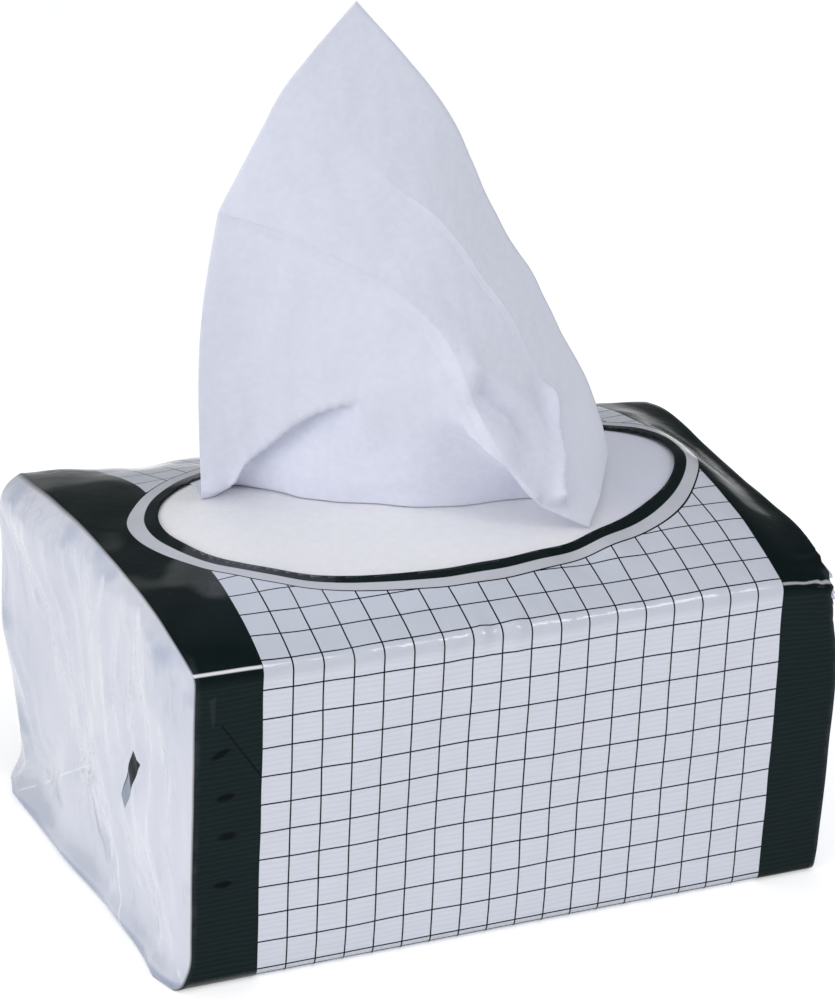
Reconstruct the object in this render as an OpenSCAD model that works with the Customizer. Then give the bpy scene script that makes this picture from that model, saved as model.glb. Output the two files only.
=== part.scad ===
// Soft pack of interfolded polishing wipes in a printed film, with one wipe pulled up through the mouth.
// Millimetres. X runs along the pack, the front faces -Y, Z is up, origin at the middle of the base.

/* [Pack] */
// Length of the pack between its folded end edges
pack_len = 224; // [200:1:260]
// Depth of the pack from front to back
pack_depth = 150; // [130:1:190]
// Height at which the arched top would meet the front and back faces square
side_h = 112; // [70:1:150]
// Rise of the arched top above that height
arch_rise = 13.5; // [8:0.5:20]
// Radius of the film's long creases along the top
top_r = 4; // [3:0.5:8]
// Radius of the film's long creases along the base
base_r = 4; // [3:0.5:8]
// How far the folded right end puffs out past its edges
right_puff = 9; // [4:0.5:16]
// How far the folded left end puffs out past its edges
left_puff = 6; // [4:0.5:16]
// How far the left end leans out at the back of the pack
end_lean = 10; // [0:0.5:14]
// How far the loose film at the foot of the left end stands out
skirt_w = 6.5; // [2:0.5:9]
// Height of that loose film
skirt_h = 12; // [6:1:20]
// How far the crown of the top has settled at the left end edge
settle_left = 5; // [2:0.5:9]
// How far the crown of the top has settled at the right end edge
settle_right = 11; // [4:0.5:13]
// Length over which the top settles towards the left end
settle_left_l = 46; // [36:1:60]
// Length over which the top settles towards the right end
settle_right_l = 40; // [36:1:60]

/* [Film] */
// Thickness of the film wall
film_t = 0.5; // [0.3:0.1:0.8]
// Reach of the upper end flap down the end face
top_flap_l = 80; // [40:1:100]
// Reach of the lower end flap up the end face
base_flap_l = 42; // [20:1:60]
// Width of both end flaps at their tips
flap_tip_w = 20; // [8:1:60]
// Width of the dark printed band at each end
band_w = 22; // [10:1:30]

/* [Mouth] */
// Length of the oval mouth along the pack
mouth_len = 181; // [150:1:190]
// Width of the oval mouth across the pack
mouth_w = 102; // [80:1:110]
// Offset of the mouth's centre along the pack from its middle
mouth_x = -3.5; // [-8:0.5:8]
// Offset of the mouth's centre towards the back of the pack
mouth_y = 6; // [0:0.5:8]
// Width of the dark printed ring around the mouth
ring_w = 4; // [2:0.5:8]

/* [Wipes] */
// Thickness of one wipe
wipe_t = 0.6; // [0.4:0.1:1]
// Height of one folded wipe in the stack
fold_pitch = 2; // [1.6:0.2:4]
// Clearance between the stack's folded edges and the film
stack_gap = 0.2; // [0.1:0.1:1]
// Clearance between neighbouring layers under the arched top
layer_gap = 0.2; // [0.15:0.05:0.5]
// Clearance between the wipes' cut ends and the folded film ends
end_gap = 1.5; // [0.5:0.5:4]

/* [Pulled wipe] */
// Height of the pulled-up corner above the top of the pack
pull_h = 170; // [90:5:220]
// Opening of the crease where the pulled wipe doubles back on itself
crease_gap = 5; // [4:0.5:8]
// Distance of the pulled wipe's tucked end from the back of the pack
tail_gap = 8; // [5:1:30]

/* [Hidden] */

film_colour = [0.90, 0.91, 0.95];
print_colour = [0.08, 0.12, 0.12];
wipe_colour = [0.96, 0.97, 0.99];
pulled_colour = [0.93, 0.95, 1.00];

// Arc steps of the round faces and of the mouth's outline
$fn = 96;
mouth_steps = 96;
// Columns and rows of the pulled wipe's sheet
sheet_cols = 34;
sheet_rows = 46;
// Length by which cutting shapes run past what they cut
over = 2;
// Height above the crown at which the settling of the top sets in
settle_from = 1.5;
// Shares of an arc's radius between which a wedge picks out its outer part
wedge_in = 0.9;
wedge_out = 1.3;

// Radius of an arc of a given rise over a half chord
function bow_r(half_chord, rise) = (half_chord * half_chord + rise * rise) / (2 * rise);

half_len = pack_len / 2;
half_depth = pack_depth / 2;
crown = side_h + arch_rise;
arch_r = bow_r(half_depth, arch_rise);
arch_z = crown - arch_r;
wipe_w = pack_len - 2 * film_t - 2 * end_gap;
// Length that reaches past both puffed ends
stock_len = pack_len + 2 * max(left_puff + end_lean, right_puff) + 2 * over;

// Depth of each layer's upper face below the outside of the arched top
tail_top = film_t + layer_gap;
next_top = tail_top + wipe_t + layer_gap;
stack_top = next_top + 2 * wipe_t + layer_gap;

function lerp(a, b, t) = a + (b - a) * t;

// Height of a layer at depth y when it lies a given distance under the arched top
function arch_at(y, under) = arch_z + sqrt(pow(arch_r - under, 2) - y * y);

// Part of the plane round an arc, between lines from its centre through (y, z) and (-y, z)
module arch_wedge(y, z) {
    polygon([
        [-wedge_in * y, wedge_in * z], [wedge_in * y, wedge_in * z],
        [wedge_out * y, wedge_out * z], [-wedge_out * y, wedge_out * z]
    ]);
}

// Outline of the pack seen from its end, drawn in by side, top and base
module end_outline(side, top, base) {
    half = half_depth - side;
    r_top = top_r - side;
    r_base = base_r - side;
    y_top = half - r_top;
    y_base = half - r_base;
    reach = sqrt(pow(arch_r - top - r_top, 2) - y_top * y_top);
    z_top = arch_z + reach;
    z_base = base + r_base;
    translate([-half, z_base])
        square([2 * half, z_top - z_base]);
    translate([-y_base, base])
        square([2 * y_base, z_top - base]);
    for (s = [-1, 1]) {
        translate([s * y_base, z_base])
            circle(r_base);
        translate([s * y_top, z_top])
            circle(r_top);
    }
    intersection() {
        translate([0, arch_z])
            circle(arch_r - top);
        translate([0, arch_z])
            arch_wedge(y_top, reach);
    }
}

// Stretch of an end outline along the pack
module along(length) {
    rotate([90, 0, 90])
        linear_extrude(length, center = true)
            children();
}

// Space between the two puffed ends, drawn in by inset
module between_ends(inset) {
    intersection() {
        puffed_end(-1, left_puff, inset);
        puffed_end(1, right_puff, inset);
    }
}

// Space inside one end, which bows out in plan and in side view
module puffed_end(end, puff, inset) {
    plan_r = bow_r(half_depth, puff);
    side_r = bow_r(crown / 2, puff);
    intersection() {
        at_end(end) translate([end * (puff - plan_r), half_depth, crown / 2])
            cylinder(h = 2 * crown, r = plan_r - inset, center = true);
        at_end(end) translate([end * (puff - side_r), half_depth, crown / 2]) rotate([90, 0, 0])
            cylinder(h = 2 * pack_depth, r = side_r - inset, center = true);
    }
}

// Place at the foot of an end's front edge; the left end leans about that edge
module at_end(end) {
    translate([end * half_len, -half_depth, 0])
        rotate([0, 0, end < 0 ? atan(end_lean / pack_depth) : 0])
            children();
}

// Space under a top that settles towards both ends, drawn in by inset
module settled_top(inset) {
    left_x = settle_left_l - half_len;
    right_x = half_len - settle_right_l;
    rotate([90, 0, 0])
        linear_extrude(2 * pack_depth, center = true) {
            translate([left_x, -over])
                square([right_x - left_x, crown + 2 * over]);
            settled_end(-1, left_x, bow_r(settle_left_l, settle_left + settle_from), inset);
            settled_end(1, right_x, bow_r(settle_right_l, settle_right + settle_from), inset);
        }
}

// Side view of one settling end, falling away in an arc of radius r from x
module settled_end(end, x, r, inset) {
    reach = pack_len / 2;
    z = crown + settle_from - r;
    intersection() {
        translate([x, z])
            circle(r - inset);
        translate([x + end * reach / 2, crown / 2])
            square([reach, crown + 2 * over], center = true);
    }
    translate([end < 0 ? x - r + inset : x, -over])
        square([r - inset, max(z, 0) + over]);
}

// Closed form of the pack, drawn in by inset
module pack_form(inset) {
    intersection() {
        along(stock_len) end_outline(inset, inset, inset);
        between_ends(inset);
        settled_top(inset);
    }
}

// Tapering end flap, one film thickness proud for each layer, from height z0 to its tip at z1
module end_flap(layer, z0, z1) {
    tip = flap_tip_w / 2;
    out = z1 > z0 ? -over : crown - side_h + over;
    intersection() {
        along(stock_len) intersection() {
            end_outline(0, 0, 0);
            polygon([
                [-half_depth, z0 + out], [half_depth, z0 + out],
                [half_depth, z0], [tip, z1], [-tip, z1], [-half_depth, z0]
            ]);
        }
        between_ends(-layer * film_t);
        settled_top(0);
    }
}

// Loose film at the foot of the left end
module end_skirt() {
    at_end(-1) translate([0, pack_depth - base_r, 0]) rotate([90, 0, 0])
        linear_extrude(pack_depth - 2 * base_r)
            polygon([[over, 0], [-skirt_w, 0], [-skirt_w, film_t], [over, skirt_h]]);
}

// Upright oval prism over the mouth, grown by margin
module mouth_prism(margin) {
    a = mouth_len / 2 + margin;
    b = mouth_w / 2 + margin;
    translate([mouth_x, mouth_y, side_h / 2])
        linear_extrude(crown - side_h / 2 + over)
            polygon([for (i = [0 : mouth_steps - 1])
                [a * cos(360 * i / mouth_steps), b * sin(360 * i / mouth_steps)]]);
}

// Folded film with its end flaps and open mouth
module film_body() {
    difference() {
        union() {
            pack_form(0);
            end_flap(1, side_h, side_h - top_flap_l);
            end_flap(2, 0, base_flap_l);
            end_skirt();
        }
        pack_form(film_t);
        mouth_prism(0);
    }
}

// Dark printed fields: a band round each end and a ring round the mouth
module print_zone() {
    for (end = [-1, 1])
        translate([end * (half_len - band_w / 2), 0, crown / 2])
            cube([band_w, 2 * pack_depth, 2 * crown], center = true);
    mouth_prism(ring_w);
}

module film_wrapper() {
    color(film_colour)
        difference() {
            film_body();
            print_zone();
        }
    color(print_colour)
        intersection() {
            film_body();
            print_zone();
        }
}

// Stack of folded wipes: one round fold for each wipe down the front and back
module wipe_stack() {
    side = film_t + stack_gap;
    fold_r = fold_pitch / 2;
    core = half_depth - side - fold_r;
    folds = floor((crown - film_t) / fold_pitch);
    color(wipe_colour)
        intersection() {
            along(wipe_w) intersection() {
                end_outline(side, stack_top, film_t);
                union() {
                    translate([-core, 0])
                        square([2 * core, crown]);
                    for (i = [0 : folds], s = [-1, 1])
                        translate([s * core, film_t + fold_r + i * fold_pitch])
                            circle(fold_r);
                }
            }
            settled_top(stack_top);
        }
}

// Next wipe in line, folded double over the stack and rounded at its long folds
module next_wipe() {
    mid_r = arch_r - next_top - wipe_t;
    edge_y = half_depth - film_t - stack_gap - top_r;
    edge_z = sqrt(mid_r * mid_r - edge_y * edge_y);
    color(wipe_colour) {
        difference() {
            intersection() {
                along(wipe_w) translate([0, arch_z]) intersection() {
                    circle(mid_r + wipe_t);
                    arch_wedge(edge_y, edge_z);
                }
                settled_top(next_top);
            }
            intersection() {
                along(wipe_w + 2 * over) translate([0, arch_z]) circle(mid_r - wipe_t);
                settled_top(next_top + 2 * wipe_t);
            }
        }
        along(wipe_w) translate([0, arch_z])
            for (s = [-1, 1])
                translate([s * edge_y, edge_z])
                    circle(wipe_t);
    }
}

// Lines laid across the pulled wipe, from its left side edge to its right one, in order from the
// mouth to the leading edge. Each point is [share of half the mouth's length, share of half its
// width, share of the pull height above the layer it lies on].
base_line = [[-0.808, 0.217, 0], [-0.663, 0.437, 0], [-0.596, 0.221, 0], [-0.478, 0.017, 0],
    [-0.303, -0.151, 0], [-0.122, -0.295, 0], [0.079, -0.358, 0], [0.333, -0.376, 0], [0.440, -0.612, 0]];
hem_line = [[-0.834, 0.157, 0.082], [-0.722, 0.294, 0.075], [-0.648, 0.098, 0.075], [-0.511, -0.049, 0.065],
    [-0.331, -0.206, 0.064], [-0.148, -0.353, 0.067], [0.046, -0.422, 0.067], [0.321, -0.451, 0.044],
    [0.440, -0.667, 0.006]];
belly_line = [[-0.892, 0, 0.376], [-0.741, -0.039, 0.355], [-0.601, -0.157, 0.333], [-0.447, -0.255, 0.299],
    [-0.306, -0.373, 0.272], [-0.163, -0.471, 0.244], [-0.014, -0.549, 0.212], [0.221, -0.588, 0.097],
    [0.448, -0.745, 0.010]];
crease_line = [[-0.840, -0.118, 0.632], [-0.624, -0.237, 0.592], [-0.421, -0.345, 0.534],
    [-0.224, -0.456, 0.472], [-0.065, -0.557, 0.385], [0.014, -0.670, 0.275], [0.108, -0.751, 0.166],
    [0.253, -0.795, 0.067], [0.456, -0.824, 0.022]];
second_line = [[-0.613, -0.118, 0.857], [-0.420, -0.183, 0.771], [-0.211, -0.256, 0.698],
    [-0.060, -0.305, 0.590], [0.089, -0.334, 0.481], [0.237, -0.359, 0.371], [0.350, -0.387, 0.252],
    [0.429, -0.464, 0.127], [0.545, -0.627, 0.050]];
lead_line = [[-0.357, -0.118, 1.008], [-0.175, -0.078, 0.900], [-0.002, -0.037, 0.787], [0.137, 0.009, 0.664],
    [0.262, 0.048, 0.535], [0.407, 0.073, 0.412], [0.540, 0.078, 0.284], [0.668, 0.065, 0.155],
    [0.736, -0.039, 0.040]];

// Laid point in millimetres
function place(p) =
    let (y = mouth_y + p[1] * mouth_w / 2)
    [mouth_x + p[0] * mouth_len / 2, y, arch_at(y, tail_top + wipe_t / 2) + p[2] * pull_h];

// Laid point of the tucked end, spread to the wipe's full width at the back of the pack
function tail_point(s) =
    let (
        x = lerp(-wipe_w, wipe_w, s) / 2 - mouth_x,
        y = half_depth - film_t - stack_gap - tail_gap - mouth_y
    )
    [x / (mouth_len / 2), y / (mouth_w / 2), 0];

// Smooth line through points, at share s of its length
function through(pts, s) =
    let (
        last = len(pts) - 1,
        i = min(floor(s * last), last - 1),
        f = s * last - i,
        a = pts[max(i - 1, 0)],
        b = pts[i],
        c = pts[i + 1],
        d = pts[min(i + 2, last)]
    )
    b + (f / 2) * ((c - a) + f * ((2 * a - 5 * b + 4 * c - d) + f * (3 * (b - c) + d - a)));

// Smooth line drawn towards points, never past them, at share t of its length
function towards(pts, t) =
    let (
        last = len(pts) - 1,
        i = min(floor(t * last), last - 1),
        f = t * last - i,
        a = i > 0 ? pts[i - 1] : 2 * pts[0] - pts[1],
        b = pts[i],
        c = pts[i + 1],
        d = i + 2 <= last ? pts[i + 2] : 2 * pts[last] - pts[last - 1]
    )
    (pow(1 - f, 3) * a + (3 * pow(f, 3) - 6 * f * f + 4) * b
        + (3 * f * f + 3 * f + 1 - 3 * pow(f, 3)) * c + pow(f, 3) * d) / 6;

// Laid points down one column of the sheet, from the tucked end to the leading edge
function column(s) =
    let (
        tail = tail_point(s),
        base = through(base_line, s),
        hem = through(hem_line, s),
        belly = through(belly_line, s),
        crease = through(crease_line, s),
        second = through(second_line, s),
        lead = through(lead_line, s),
        open = [0, 0, s * crease_gap / pull_h / 2]
    )
    [
        tail, lerp(base, tail, 0.5), lerp(base, tail, 0.1), base,
        lerp(base, hem, 0.3), hem, belly,
        lerp(crease, belly, 0.2) - open, crease, lerp(crease, second, 0.2) + open,
        lerp(crease, second, 0.6), second, lerp(second, lead, 0.4),
        lead
    ];

// Grid of points to a closed sheet of even thickness
module sheet(grid, thickness) {
    n = len(grid);
    m = len(grid[0]);
    shift = [for (i = [0 : n - 1]) [for (j = [0 : m - 1])
        let (
            du = grid[min(i + 1, n - 1)][j] - grid[max(i - 1, 0)][j],
            dv = grid[i][min(j + 1, m - 1)] - grid[i][max(j - 1, 0)],
            normal = cross(du, dv)
        )
        normal / norm(normal) * thickness / 2]];
    points = [
        for (i = [0 : n - 1], j = [0 : m - 1]) grid[i][j] + shift[i][j],
        for (i = [0 : n - 1], j = [0 : m - 1]) grid[i][j] - shift[i][j]
    ];
    under = n * m;
    rim = [
        for (i = [0 : n - 2]) i * m,
        for (j = [0 : m - 2]) (n - 1) * m + j,
        for (i = [n - 1 : -1 : 1]) i * m + m - 1,
        for (j = [m - 1 : -1 : 1]) j
    ];
    faces = [
        for (i = [0 : n - 2], j = [0 : m - 2], half = [0, 1])
            let (k = i * m + j)
            half == 0 ? [k, k + m + 1, k + m] : [k, k + 1, k + m + 1],
        for (i = [0 : n - 2], j = [0 : m - 2], half = [0, 1])
            let (k = under + i * m + j)
            half == 0 ? [k, k + m, k + m + 1] : [k, k + m + 1, k + 1],
        for (e = [0 : len(rim) - 1], half = [0, 1])
            let (a = rim[e], b = rim[(e + 1) % len(rim)])
            half == 0 ? [a, b, under + b] : [a, under + b, under + a]
    ];
    polyhedron(points, faces);
}

// Wipe drawn up by one corner of its leading edge, its tail still tucked under the film
module pulled_wipe() {
    color(pulled_colour)
        sheet([for (i = [0 : sheet_cols - 1])
            let (line = column(i / (sheet_cols - 1)))
            [for (j = [0 : sheet_rows - 1]) place(towards(line, j / (sheet_rows - 1)))]], wipe_t);
}

film_wrapper();
wipe_stack();
next_wipe();
pulled_wipe();
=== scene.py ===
# %% [markdown]
# # A soft pack of polishing wipes
# The object is a block of folded white wipes in a printed film, with an oval mouth torn open in its
# arched top and one wipe drawn up through it. The CAD frame gives every size. Blender gives the looks:
# the drawn film with its creases and print, the limp wipes, and the soft light.
# All lengths below are written in millimetres, as in the CAD source, and turned to metres at the end.

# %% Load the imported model
import math

import bpy
import numpy as np
from mathutils import Matrix, Vector


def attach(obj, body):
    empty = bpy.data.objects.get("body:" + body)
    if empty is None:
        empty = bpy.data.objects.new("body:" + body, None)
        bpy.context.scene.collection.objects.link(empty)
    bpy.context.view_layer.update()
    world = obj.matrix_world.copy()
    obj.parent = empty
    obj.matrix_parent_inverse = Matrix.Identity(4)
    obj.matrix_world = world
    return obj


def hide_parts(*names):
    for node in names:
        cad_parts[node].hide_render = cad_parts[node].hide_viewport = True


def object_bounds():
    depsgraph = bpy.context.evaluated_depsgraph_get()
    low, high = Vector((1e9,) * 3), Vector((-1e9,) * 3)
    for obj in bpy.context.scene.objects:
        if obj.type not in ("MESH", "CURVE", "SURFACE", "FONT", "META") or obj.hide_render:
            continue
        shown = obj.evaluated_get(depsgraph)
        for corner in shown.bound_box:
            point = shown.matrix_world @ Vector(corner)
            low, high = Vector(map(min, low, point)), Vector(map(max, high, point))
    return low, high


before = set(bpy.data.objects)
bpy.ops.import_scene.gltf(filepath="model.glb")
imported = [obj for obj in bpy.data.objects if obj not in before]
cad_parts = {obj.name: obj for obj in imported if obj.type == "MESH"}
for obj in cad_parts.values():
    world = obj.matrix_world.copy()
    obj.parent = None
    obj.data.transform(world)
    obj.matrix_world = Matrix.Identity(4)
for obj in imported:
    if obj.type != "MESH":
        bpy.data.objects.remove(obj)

MM = 0.001
cad_low, cad_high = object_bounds()
cad_size = [round((b - a) / MM, 1) for a, b in zip(cad_low, cad_high)]
print("CAD box in mm:", cad_size)

# %% [markdown]
# ## The camera
# The photograph looks down on the front and on the left end. Its view was worked out from the printed
# check, whose squares are 10 mm wide. A camera can be aimed with a constraint, but a written turn
# keeps the small roll of the photograph, so the eye point and the three angles are set directly.

# %% Camera at the photograph's view
FRAME_HEIGHT_PX = 1000
FOCAL_PX = 3586.1
SENSOR = 36.0
EYE = Vector((-0.4399, -0.9737, 0.6277))
AZIMUTH, ELEVATION, ROLL = (math.radians(a) for a in (23.92, 25.35, 2.52))

camera_data = bpy.data.cameras.new("camera")
camera_data.sensor_width = SENSOR
camera_data.lens = SENSOR * FOCAL_PX / FRAME_HEIGHT_PX
camera_data.clip_start = 0.05
camera_data.clip_end = 50.0
camera = bpy.data.objects.new("camera", camera_data)
turn = Matrix.Rotation(-AZIMUTH, 4, "Z")
turn = turn @ Matrix.Rotation(math.pi / 2 - ELEVATION, 4, "X")
turn = turn @ Matrix.Rotation(ROLL, 4, "Z")
camera.matrix_world = Matrix.Translation(EYE) @ turn
bpy.context.scene.collection.objects.link(camera)
bpy.context.scene.camera = camera
print("camera lens in mm:", round(camera_data.lens, 1))

# %% [markdown]
# ## Node helpers
# A material here is a small graph of sums. Math nodes could be placed one by one, but a long look would
# then take pages. A wire that can be added and multiplied like a number, where each sum adds its math
# node, lets a look be written as a formula.

# %% Wires that can be summed
class Wire:
    """Output of a node. A sum of wires adds a math node to their tree."""

    def __init__(self, tree, socket):
        self.tree = tree
        self.socket = socket

    def __add__(self, other):
        return maths(self.tree, "ADD", self, other)

    def __sub__(self, other):
        return maths(self.tree, "SUBTRACT", self, other)

    def __rsub__(self, other):
        return maths(self.tree, "SUBTRACT", other, self)

    def __mul__(self, other):
        return maths(self.tree, "MULTIPLY", self, other)

    def __truediv__(self, other):
        return maths(self.tree, "DIVIDE", self, other)

    def __pow__(self, power):
        return maths(self.tree, "POWER", self, power)

    def __abs__(self):
        return maths(self.tree, "ABSOLUTE", self)


def plug(socket, value):
    """Wires a socket, or sets a plain number, vector or colour."""
    if isinstance(value, Wire):
        value.tree.links.new(value.socket, socket)
    else:
        socket.default_value = value


def add(tree, kind, **inputs):
    """New node with inputs set or wired by name, an underscore for each space."""
    node = tree.nodes.new(kind)
    for name, value in inputs.items():
        plug(node.inputs[name.replace("_", " ")], value)
    return node


def wire(tree, kind, output=0, **inputs):
    """Wire from one output of a new node."""
    return Wire(tree, add(tree, kind, **inputs).outputs[output])


def operate(tree, kind, operation, values, output):
    """Wire from a new math node of either kind."""
    node = add(tree, kind)
    node.operation = operation
    for socket, value in zip(node.inputs, values):
        plug(socket, value)
    return Wire(tree, node.outputs[output])


def maths(tree, operation, *values):
    """Wire from a math node."""
    return operate(tree, "ShaderNodeMath", operation, values, 0)


def vector_value(operation, *vectors):
    """Number from a vector math node, such as a length or a dot product."""
    return operate(vectors[0].tree, "ShaderNodeVectorMath", operation, vectors, "Value")


def highest(first, *others):
    """Largest of a wire and other wires or numbers."""
    for other in others:
        first = maths(first.tree, "MAXIMUM", first, other)
    return first


def lowest(first, *others):
    """Smallest of a wire and other wires or numbers."""
    for other in others:
        first = maths(first.tree, "MINIMUM", first, other)
    return first


print("sums ready")

# %% [markdown]
# ### Steps, blends and noise
# The other nodes that a look needs: a soft step, a blend of two colours, a noise, a bump, and vectors
# taken apart and put together. Each finds its tree from the wire that it is given.

# %% Steps, blends and noise
def ramp(value, low, high, low_out=0.0, high_out=1.0):
    """Smooth step from one value to another."""
    node = add(value.tree, "ShaderNodeMapRange")
    node.interpolation_type = "SMOOTHSTEP"
    names = ("Value", "From Min", "From Max", "To Min", "To Max")
    for name, given_value in zip(names, (value, low, high, low_out, high_out)):
        plug(node.inputs[name], given_value)
    return Wire(value.tree, node.outputs["Result"])


def fade(value, low, high, full=1.0):
    """Smooth step from a full value down to nothing."""
    return ramp(value, low, high, full, 0.0)


def mix_colour(share, first, second):
    """Blend of two colours."""
    node = add(share.tree, "ShaderNodeMix")
    node.data_type = "RGBA"
    plug(node.inputs["Factor"], share)
    colours = [socket for socket in node.inputs if socket.type == "RGBA"]
    plug(colours[0], first)
    plug(colours[1], second)
    return Wire(share.tree, [socket for socket in node.outputs if socket.type == "RGBA"][0])


def noise(where, scale, detail=2.0):
    """Noise texture value on a coordinate."""
    return wire(where.tree, "ShaderNodeTexNoise", "Fac", Vector=where, Scale=scale, Detail=detail)


def stretch(where, *scale):
    """Coordinate scaled by a different amount on each axis."""
    return wire(where.tree, "ShaderNodeMapping", "Vector", Vector=where, Scale=scale)


def bump(height, strength, distance):
    """Normal bent by a height."""
    return wire(height.tree, "ShaderNodeBump", "Normal", Height=height, Strength=strength, Distance=distance)


def gather(x, y, z):
    """Vector from three numbers or wires, at least one of them a wire."""
    tree = next(part.tree for part in (x, y, z) if isinstance(part, Wire))
    return wire(tree, "ShaderNodeCombineXYZ", X=x, Y=y, Z=z)


def split(vector):
    """X, Y and Z wires of a vector."""
    node = add(vector.tree, "ShaderNodeSeparateXYZ", Vector=vector)
    return [Wire(vector.tree, socket) for socket in node.outputs]


def new_material(name):
    """Empty node material with its Principled shader and output."""
    made = bpy.data.materials.new(name)
    made.use_nodes = True
    tree = made.node_tree
    tree.nodes.clear()
    shader = add(tree, "ShaderNodeBsdfPrincipled")
    add(tree, "ShaderNodeOutputMaterial", Surface=Wire(tree, shader.outputs["BSDF"]))
    return made, tree, shader


def dress(shader, looks):
    """Sets or wires a shader's sockets by name."""
    for name, value in looks.items():
        plug(shader.inputs[name], value)


print("node helpers ready")

# %% [markdown]
# ## Light of the room
# The pack stands in a white studio, so its shadows are faint and its white sides are nearly even. A
# picture of a room could light it, but a world of one pale colour is plainer and fills every side. It is
# dimmer towards the far right, which keeps the reflections on the right band low. Its level is low
# enough for a colour to render about as it is written.

# %% World
WORLD_COLOUR, WORLD_STRENGTH = (0.95, 0.97, 1.0, 1.0), 0.60
DIM_WAY, DIM_STRENGTH = Vector((1.0, 0.2, 0.1)).normalized(), 0.15
DIM_FROM, DIM_FULL = 0.2, 0.85

world = bpy.data.worlds.new("studio")
world.use_nodes = True
towards_eye = wire(world.node_tree, "ShaderNodeNewGeometry", "Incoming")
facing = vector_value("DOT_PRODUCT", towards_eye, -DIM_WAY)
sky_level = ramp(facing, DIM_FROM, DIM_FULL, WORLD_STRENGTH, DIM_STRENGTH)
dress(world.node_tree.nodes["Background"], {"Color": WORLD_COLOUR, "Strength": sky_level})
bpy.context.scene.world = world
bpy.context.scene.view_settings.view_transform = "Standard"
print("world strength:", WORLD_STRENGTH, "and at the far right", DIM_STRENGTH)

# %% [markdown]
# ## Table
# The table looks whiter to the camera, and in reflections close by, through a small glow of its own,
# which lights nothing else and leaves the shadow on it. Farther off it doesn't glow in reflections, or
# the dark bands would turn white where they mirror it at a low angle.

# %% Table
FLOOR_COLOUR, FLOOR_ROUGH, FLOOR_SPECULAR = (0.93, 0.93, 0.93, 1.0), 0.9, 0.1
FLOOR_GLOW, FLOOR_NEAR, FLOOR_FAR = 0.47, 0.4, 1.2
FLOOR_HALF = 4.0

floor_material, floor_tree, floor_shader = new_material("pale_table")
path = add(floor_tree, "ShaderNodeLightPath").outputs
ray_names = ("Is Camera Ray", "Is Glossy Ray", "Is Transmission Ray")
camera_ray, glossy_ray, passed_ray = (Wire(floor_tree, path[name]) for name in ray_names)
off_middle = vector_value("LENGTH", wire(floor_tree, "ShaderNodeTexCoord", "Object"))
mirrored = highest(glossy_ray, passed_ray) * fade(off_middle, FLOOR_NEAR, FLOOR_FAR)
dress(floor_shader, {
    "Base Color": FLOOR_COLOUR, "Roughness": FLOOR_ROUGH, "Specular IOR Level": FLOOR_SPECULAR,
    "Emission Color": FLOOR_COLOUR, "Emission Strength": highest(camera_ray, mirrored) * FLOOR_GLOW})
floor_mesh = bpy.data.meshes.new("floor")
corner_signs = ((-1, -1), (1, -1), (1, 1), (-1, 1))
floor_mesh.from_pydata([(a * FLOOR_HALF, b * FLOOR_HALF, 0) for a, b in corner_signs], [], [(0, 1, 2, 3)])
floor_mesh.materials.append(floor_material)
floor = bpy.data.objects.new("floor", floor_mesh)
bpy.context.scene.collection.objects.link(floor)
print("table half width in m:", FLOOR_HALF)

# %% [markdown]
# ## Lamps
# A wide lamp low at the left shapes the folds, one overhead lights the mouth, a tall strip high at the
# right front gives the film its bright edges, and a smaller one low at the right lights that side. All
# are wide and soft, and turned towards the middle of the pack.

# %% Lamps
MIDDLE = Vector((0.0, 0.0, 0.13))
LAMPS = {
    "left_box": {"place": (-1.8, -0.75, 0.5), "size": (1.1, 1.0), "watts": 13.5},
    "right_strip": {"place": (0.76, -1.18, 1.42), "size": (0.25, 0.7), "watts": 3.8},
    "top_box": {"place": (-0.25, -0.25, 1.7), "size": (1.2, 1.2), "watts": 2.5},
    "right_low": {"place": (1.5, -0.25, 0.45), "size": (0.8, 0.8), "watts": 4.0},
}
for name, plan in LAMPS.items():
    data = bpy.data.lights.new(name, "AREA")
    data.shape = "RECTANGLE"
    data.size, data.size_y = plan["size"]
    data.energy = plan["watts"]
    lamp = bpy.data.objects.new(name, data)
    aim = (MIDDLE - Vector(plan["place"])).to_track_quat("-Z", "Y").to_matrix().to_4x4()
    lamp.matrix_world = Matrix.Translation(plan["place"]) @ aim
    bpy.context.scene.collection.objects.link(lamp)
print("lamps:", list(LAMPS))

# %% [markdown]
# ## Sizes shared by the pieces
# These repeat the named sizes of the CAD source, because every piece sits on the same arch. The top of
# the pack is part of a large circle, and each layer under it lies a known depth below.

# %% Sizes from the CAD source
PACK_LEN, PACK_DEPTH, SIDE_H, ARCH_RISE = 224.0, 150.0, 112.0, 13.5
EDGE_R, END_PUFF = 4.0, 9.0
MOUTH_A, MOUTH_B = 90.4, 51.0
MOUTH_X, MOUTH_Y, MOUTH_TURN, MOUTH_BEND = -3.4, 5.8, math.radians(2.86), 4.5
MOUTH_FULL = 0.45
WIPE_W, PULL_H, CREASE_GAP = 220.0, 170.0, 3.0
TAIL_Y = 66.3

HALF_LEN, HALF_DEPTH = PACK_LEN / 2, PACK_DEPTH / 2
CROWN = SIDE_H + ARCH_RISE


def bow_radius(half_chord, rise):
    """Radius of an arc of a given rise over a half chord."""
    return (half_chord ** 2 + rise ** 2) / (2 * rise)


ARCH_R = bow_radius(HALF_DEPTH, ARCH_RISE)
ARCH_Z = CROWN - ARCH_R


def arch_at(y, under):
    """Height at depth y of a layer that lies a given distance under the arched top."""
    return ARCH_Z + np.sqrt((ARCH_R - under) ** 2 - y ** 2)


print("arch radius in mm:", round(ARCH_R, 1), "crown at", CROWN)

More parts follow.
